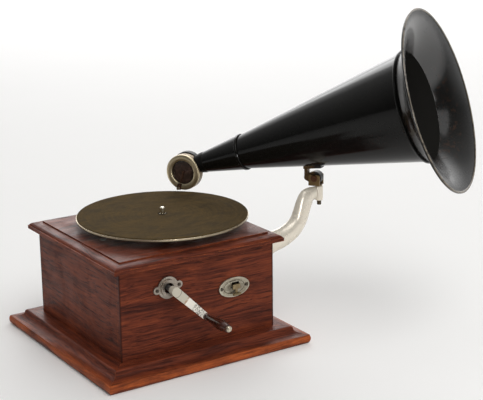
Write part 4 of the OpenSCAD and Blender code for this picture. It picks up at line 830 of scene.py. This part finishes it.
def around(centre, radius, start, end, steps):
    """Points on a circle's arc, from one angle to another in degrees."""
    turns = [math.radians(start + (end - start) * i / steps) for i in range(steps + 1)]
    return [(centre[0] + radius * math.cos(a), centre[1] + radius * math.sin(a)) for a in turns]


def in_metres(points):
    return [(r * MM, s * MM) for r, s in points]


# Horn


def horn_place():
    """Puts Z along the horn, with its zero above the swivel."""
    spot = Matrix.Translation((*SWIVEL[:2], HORN_HEIGHT))
    turn = Matrix.Rotation(math.radians(HORN_TURN), 4, "Z")
    return spot @ turn @ Matrix.Rotation(math.radians(90 - HORN_RISE), 4, "Y")


def cone_radius(s):
    return BEAD_RADIUS - (BEAD_AT - s) * CONE_SLOPE


def bell_point(t, inset, rim):
    """A point of the bell's wall, from its bead at 0 to its rim at 1."""
    first, last = (math.radians(a) for a in BELL_TURN)
    angle = first + (last - first) * t
    forward = (math.sin(angle) - math.sin(first)) / (math.sin(last) - math.sin(first))
    out = (math.cos(first) - math.cos(angle)) / (math.cos(first) - math.cos(last))
    start, end = BEAD_AT + BELL_START, MOUTH_AT - rim
    radius = BEAD_RADIUS + (MOUTH_RADIUS - rim - BEAD_RADIUS) * out
    return radius - inset * math.cos(angle), start + (end - start) * forward + inset * math.sin(angle)


def wired_edge(outer, inner, centre, radius):
    """The outline of a wire rolled into the end of a sheet, from the outer wall round to the inner one."""
    start = math.degrees(math.atan2(outer[1] - centre[1], outer[0] - centre[0]))
    end = math.degrees(math.atan2(inner[1] - centre[1], inner[0] - centre[0]))
    if end < start:
        end += 360
    return around(centre, radius, start, end, WIRE_STEPS)


class GRAMOPHONE_OT_horn(bpy.types.Operator):
    """Spin the horn's bell, cone and sleeve, and smooth its elbow and bracket"""

    bl_idname = "gramophone.horn"
    bl_label = "Horn"

    def execute(self, context):
        look = context.scene.horn_look
        place = horn_place()
        rim, bead = look.rim / MM, look.bead / MM
        steps = look.steps
        shares = [BELL_SHARE * i / WALL_STEPS for i in range(WALL_STEPS + 1)]
        outside = [bell_point(t, 0, rim) for t in shares]
        inside = [bell_point(t, SHEET, rim) for t in shares]
        centre = (MOUTH_RADIUS - rim, MOUTH_AT - rim)
        roll = wired_edge(outside[-1], inside[-1], centre, rim)
        bell = spun(in_metres(outside + roll + inside[::-1]), steps, place)
        finish_mesh(bell, "bell", "horn_bell", "mouth_japan", sharp=60)
        back = RING_AT - CONE_LAP
        stations = [back + (BEAD_AT - bead - back) * i / CONE_STEPS for i in range(CONE_STEPS + 1)]
        wall = [(cone_radius(s), s) for s in stations]
        lining = [(cone_radius(s) - SHEET, s) for s in stations]
        lifted = (cone_radius(BEAD_AT) + BEAD_LIFT * bead, BEAD_AT)
        ring = around(lifted, bead, -BEAD_TURN, BEAD_TURN, WIRE_STEPS)
        front = BEAD_AT + BELL_START - BELL_GAP
        join = [(BEAD_RADIUS, front), (BEAD_RADIUS - SHEET, front)]
        cone = spun(in_metres(wall + ring + join + lining[::-1]), steps, place)
        finish_mesh(cone, "cone", "horn_cone", "cone_japan", sharp=60)
        slope = (RING_RADIUS - NECK_RADIUS) / (RING_AT - NECK_AT)
        ring_back = RING_AT - RING_WIDTH
        taper = [(NECK_RADIUS + slope * (s - NECK_AT), s) for s in (NECK_AT, NECK_AT + 30, ring_back)]
        lip = RING_RADIUS + RING_LIP
        raised = [(lip - 0.5, ring_back), (lip, ring_back + 0.6), (lip, RING_AT - 0.6), (lip - 0.4, RING_AT)]
        mouth = [(cone_radius(s) + SLEEVE_GAP, s) for s in (RING_AT, back)]
        end = [(NECK_RADIUS - SLEEVE_SHEET, NECK_AT)]
        sleeve = spun(in_metres(taper + raised + mouth + end), steps, place)
        finish_mesh(sleeve, "sleeve", "horn_sleeve", sharp=30)
        soft_piece("horn_elbow", "elbow", 0.0, "elbow_japan", 34)
        soft_piece("horn_bracket", "bracket", 0.0003, "bracket_japan", 40)
        return {"FINISHED"}


# Turntable


class GRAMOPHONE_OT_turntable(bpy.types.Operator):
    """Spin the turntable's pan and lay its felt"""

    bl_idname = "gramophone.turntable"
    bl_label = "Turntable"

    def execute(self, context):
        look = context.scene.turntable_look
        low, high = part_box("turntable_pan")
        middle = Matrix.Translation(((low.x + high.x) / 2, (low.y + high.y) / 2, 0))
        radius, bore, wall = (high.x - low.x) / 2, PAN_BORE, PAN_WALL
        outline = [(bore, high.z), (radius - 0.03, high.z)]
        outline += around((radius - look.rim, high.z - look.rim), look.rim, 90, -70, 12)
        foot = (radius - FOOT_INSET - FOOT_ROUND, low.z + FOOT_ROUND)
        outline += around(foot, FOOT_ROUND, 0, -90, 4)
        outline += [(radius - wall, low.z), (radius - wall, high.z - wall - 0.001)]
        outline += [(radius - wall - 0.001, high.z - wall), (bore, high.z - wall)]
        finish_mesh(spun(outline, PAN_STEPS, middle), "pan", "turntable_pan", "pan_nickel", sharp=50)
        low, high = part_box("turntable_felt")
        radius, bore, edge = (high.x - low.x) / 2, FELT_BORE, look.felt_edge
        outline = [(radius, low.z)] + around((radius - edge, high.z - edge), edge, 0, 90, 4)
        width = radius - edge - bore
        outline += [(bore + width * (1 - i / FELT_RINGS), high.z) for i in range(1, FELT_RINGS + 1)]
        outline += [(bore, low.z)]
        bm = spun(outline, FELT_STEPS, middle)
        for vert in bm.verts:
            if vert.co.z > high.z - 0.2 * edge:
                vert.co.z -= NAP_DEPTH * (0.5 + 0.5 * noise.noise(vert.co * NAP_SCALE))
        felt = finish_mesh(bm, "felt_cover", "turntable_felt", sharp=60)
        return {"FINISHED"}


# Case


class GRAMOPHONE_OT_case(bpy.types.Operator):
    """Round the rubbed edges of the case's boards and mouldings"""

    bl_idname = "gramophone.case"
    bl_label = "Case"

    def execute(self, context):
        edge = context.scene.case_look.edge
        boards = {
            "plinth_mouldings": ("plinth", 0.6, "plinth"),
            "top_board": ("lid_board", 0.5, "board"),
            "front_panel": ("front_board", 0.8, "panel"),
            "back_panel": ("back_board", 0.8, "panel"),
            "side_panels": ("side_boards", 0.5, "panel"),
        }
        for node, (name, amount, finish) in boards.items():
            soft_piece(node, name, amount * edge, finish)
        return {"FINISHED"}


# Metal


class GRAMOPHONE_OT_arm(bpy.types.Operator):
    """Cast the horn's arm, its foot and its boss in one smooth piece"""

    bl_idname = "gramophone.arm"
    bl_label = "Horn arm"

    def execute(self, context):
        bm = cad_copy("horn_arm")
        arm = finish_mesh(bm, "cast_arm", "horn_arm", "arm_alloy")
        remesh = arm.modifiers.new("One casting", "REMESH")
        remesh.mode, remesh.voxel_size, remesh.use_smooth_shade = "VOXEL", ARM_VOXEL, True
        fair = arm.modifiers.new("Fair surface", "CORRECTIVE_SMOOTH")
        fair.smooth_type, fair.iterations, fair.factor, fair.use_only_smooth = "SIMPLE", 5, 0.5, True
        return {"FINISHED"}


def taper_blade(mesh):
    """Narrows the crank's blade evenly toward its handle."""
    turn = math.radians(CRANK_ANGLE)
    down = Vector((math.cos(turn), 0, -math.sin(turn)))
    over = Vector((math.sin(turn), 0, math.cos(turn)))
    for vert in mesh.vertices:
        offset = vert.co - Vector(CRANK_PLACE)
        share_down = min(max(offset.dot(down) / BLADE_LENGTH, 0), 1)
        vert.co -= over * offset.dot(over) * BLADE_TAPER * share_down


class GRAMOPHONE_OT_fittings(bpy.types.Operator):
    """Round the edges of the crank, collar, brake lever, swivel and sound box, and shade the oval plate
    smooth
    """

    bl_idname = "gramophone.fittings"
    bl_label = "Metal fittings"

    def execute(self, context):
        edge = context.scene.metal_look.edge
        fittings = {
            "crank_escutcheon": ("crank_collar", 1.4, "collar_nickel"),
            "control_plate": ("oval_plate", 0.0, "plate_nickel"),
            "crank_arm": ("crank_blade", 1.6, "blade_nickel"),
            "crank_grip": ("grip", 0.0, "grip_wood"),
            "handle_pin": ("grip_rivet", 0.0, "nickel"),
            "winding_shaft": ("crank_shaft", 0.0, "steel"),
            "front_screws": ("collar_and_plate_screws", 0.0, "screw_steel"),
            "brake_lever": ("brake_finger", 0.6, "lever_brass"),
            "swivel_fork": ("fork", 1.2, "fork_brass"),
            "tilt_screw": ("fork_screw", 0.6, "screw_brass"),
            "spindle": ("spindle_shaft", 0.0, "bright_nickel"),
            "sound_box_body": ("sound_box_case", 0.8, "box_side"),
            "sound_box_bezel": ("sound_box_ring", 0.0, "box_nickel"),
            "stylus_bar": ("stylus_lever", 0.3, "stylus_steel"),
            "needle_screw": ("needle_thumbscrew", 0.6, "nickel"),
            "needle": ("playing_needle", 0.0, "bright_nickel"),
        }
        for node, (name, amount, finish) in fittings.items():
            piece = soft_piece(node, name, amount * edge, finish)
            if node == "crank_arm":
                taper_blade(piece.data)
        return {"FINISHED"}


class GRAMOPHONE_OT_finishes(bpy.types.Operator):
    """Make the finishes and put them on the CAD pieces that stay as they are"""

    bl_idname = "gramophone.finishes"
    bl_label = "Finishes"

    def execute(self, context):
        make_finishes()
        for name, piece in frame["nodes"].items():
            put_on(piece, SLOTS[name])
        return {"FINISHED"}


# Stage


def area_light(name, place, target, size, watts):
    data = bpy.data.lights.new(name, "AREA")
    data.shape, data.size, data.size_y = "RECTANGLE", size[0], size[1]
    data.energy = watts
    light = new_object(name, data)
    light.location = place
    light.rotation_euler = (Vector(target) - Vector(place)).to_track_quat("-Z", "Y").to_euler()
    return light


def photo_camera():
    """The camera that took the photograph, as fitted to the plinth, case and turntable."""
    yaw, pitch, roll = CAMERA_YAW, CAMERA_PITCH, CAMERA_ROLL
    ahead = Vector((-math.sin(yaw) * math.cos(pitch), math.cos(yaw) * math.cos(pitch), -math.sin(pitch)))
    level = Vector((math.cos(yaw), math.sin(yaw), 0))
    above = level.cross(ahead)
    right = math.cos(roll) * level + math.sin(roll) * above
    up = math.cos(roll) * above - math.sin(roll) * level
    data = bpy.data.cameras.new("Photo camera")
    data.sensor_fit, data.sensor_width = "HORIZONTAL", 36
    data.lens = FOCAL_PIXELS * data.sensor_width / IMAGE_WIDE
    data.clip_start, data.clip_end = 0.05, 100
    camera = new_object("Photo camera", data)
    camera.matrix_world = Matrix.Translation(CAMERA_PLACE) @ Matrix((right, up, -ahead)).transposed().to_4x4()
    bpy.context.scene.camera = camera


def studio_floor(look):
    bm = bmesh.new()
    bmesh.ops.create_grid(bm, x_segments=8, y_segments=8, size=FLOOR_HALF)
    floor = from_bmesh(bm, "floor")
    floor.location = (0, 0, -FLOOR_DROP)
    made, tree, shader, place = new_finish("Studio floor")
    tone = stretch(tree, cloud(tree, place, 1.3, 3.0, 0.6), 0.3, 0.7, 0.985, 1.0)
    # Paler under the object than further off: a faint painted pool of light
    far = stretch(tree, vector_calc(tree, "LENGTH", place), 0.5, 3.0)
    white = colour_mix(tree, far, opaque(look.floor), opaque(look.far_floor))
    dress(tree, shader, base_color=colour_mix(tree, 1.0, white, grey(tree, tone), "MULTIPLY"), roughness=0.75)
    floor.data.materials.append(made)


def room_light(look):
    """Soft light, weaker from the left; what gloss mirrors is dark at the camera's side and bright behind."""
    world = bpy.data.worlds.new("Studio")
    world.use_nodes = True
    tree = world.node_tree
    tree.nodes.clear()
    way = add(tree, "TexCoord").outputs["Generated"]
    toward = vector_calc(tree, "DOT_PRODUCT", way, BRIGHT_WALL)
    wide = stretch(tree, toward, -0.3, 0.6, 0.02, 0.3)
    tone = calc(tree, "ADD", stretch(tree, toward, 0.7, 0.98), wide)
    rays = add(tree, "LightPath").outputs
    seen = add(tree, "Background", {"Color": grey(tree, 0.98)}).outputs[0]
    mirrored = add(tree, "Background", {"Color": grey(tree, tone), "Strength": 2.0}).outputs[0]
    side = stretch(tree, vector_calc(tree, "DOT_PRODUCT", way, OPEN_SIDE), -0.9, 0.4, 0.1, 1.0)
    plain = add(tree, "Background", {"Color": grey(tree, side), "Strength": look.sky}).outputs[0]
    lit = add(tree, "MixShader", {0: rays["Is Glossy Ray"], 1: plain, 2: mirrored}).outputs[0]
    shown = add(tree, "MixShader", {0: rays["Is Camera Ray"], 1: lit, 2: seen}).outputs[0]
    add(tree, "OutputWorld", {"Surface": shown})
    bpy.context.scene.world = world


class GRAMOPHONE_OT_stage(bpy.types.Operator):
    """Set the floor, the soft lights and the camera"""

    bl_idname = "gramophone.stage"
    bl_label = "Floor, light and camera"

    def execute(self, context):
        look = context.scene.stage_look
        photo_camera()
        studio_floor(look)
        room_light(look)
        area_light("Key light", (0.1, -2.2, 3.0), (0.1, 0, 0.15), (2.4, 2.4), look.key)
        area_light("Back light", (2.4, 3.8, 2.6), (1.9, 3.0, 0), (3.6, 2.4), look.back)
        low = area_light("Low light", (-0.5, -2.6, 0.55), (0.39, -0.17, 0.34), (0.3, 0.6), look.glint)
        low.visible_diffuse = False
        far = area_light("Floor light", (4.3, -0.4, 2.2), (4.1, -0.3, 0), (2.0, 2.0), look.side)
        far.visible_glossy = False
        context.scene.view_settings.view_transform = "Standard"
        return {"FINISHED"}


LOOKS = {
    "case_look": CaseLook,
    "horn_look": HornLook,
    "metal_look": MetalLook,
    "turntable_look": TurntableLook,
    "stage_look": StageLook,
}
STEPS = (
    GRAMOPHONE_OT_stage,
    GRAMOPHONE_OT_finishes,
    GRAMOPHONE_OT_case,
    GRAMOPHONE_OT_horn,
    GRAMOPHONE_OT_turntable,
    GRAMOPHONE_OT_arm,
    GRAMOPHONE_OT_fittings,
)


class GRAMOPHONE_PT_panel(bpy.types.Panel):
    """Lists the gramophone's steps with their sizes and colours"""

    bl_idname = "GRAMOPHONE_PT_panel"
    bl_label = "Gramophone"
    bl_space_type = "VIEW_3D"
    bl_region_type = "UI"
    bl_category = "Gramophone"

    def draw(self, context):
        for step in STEPS:
            self.layout.operator(step.bl_idname)
        for name, kind in LOOKS.items():
            box = self.layout.box()
            box.label(text=kind.__doc__)
            for key in kind.__annotations__:
                box.prop(getattr(context.scene, name), key)


def register():
    for kind in (*LOOKS.values(), *STEPS, GRAMOPHONE_PT_panel):
        bpy.utils.register_class(kind)
    for name, kind in LOOKS.items():
        setattr(bpy.types.Scene, name, PointerProperty(type=kind))


def unregister():
    for name in LOOKS:
        delattr(bpy.types.Scene, name)
    for kind in (GRAMOPHONE_PT_panel, *STEPS, *LOOKS.values()):
        bpy.utils.unregister_class(kind)


def main():
    register()
    for step in STEPS:
        group_name, action = step.bl_idname.split(".")
        getattr(getattr(bpy.ops, group_name), action)()


if __name__ == "__main__":
    main()
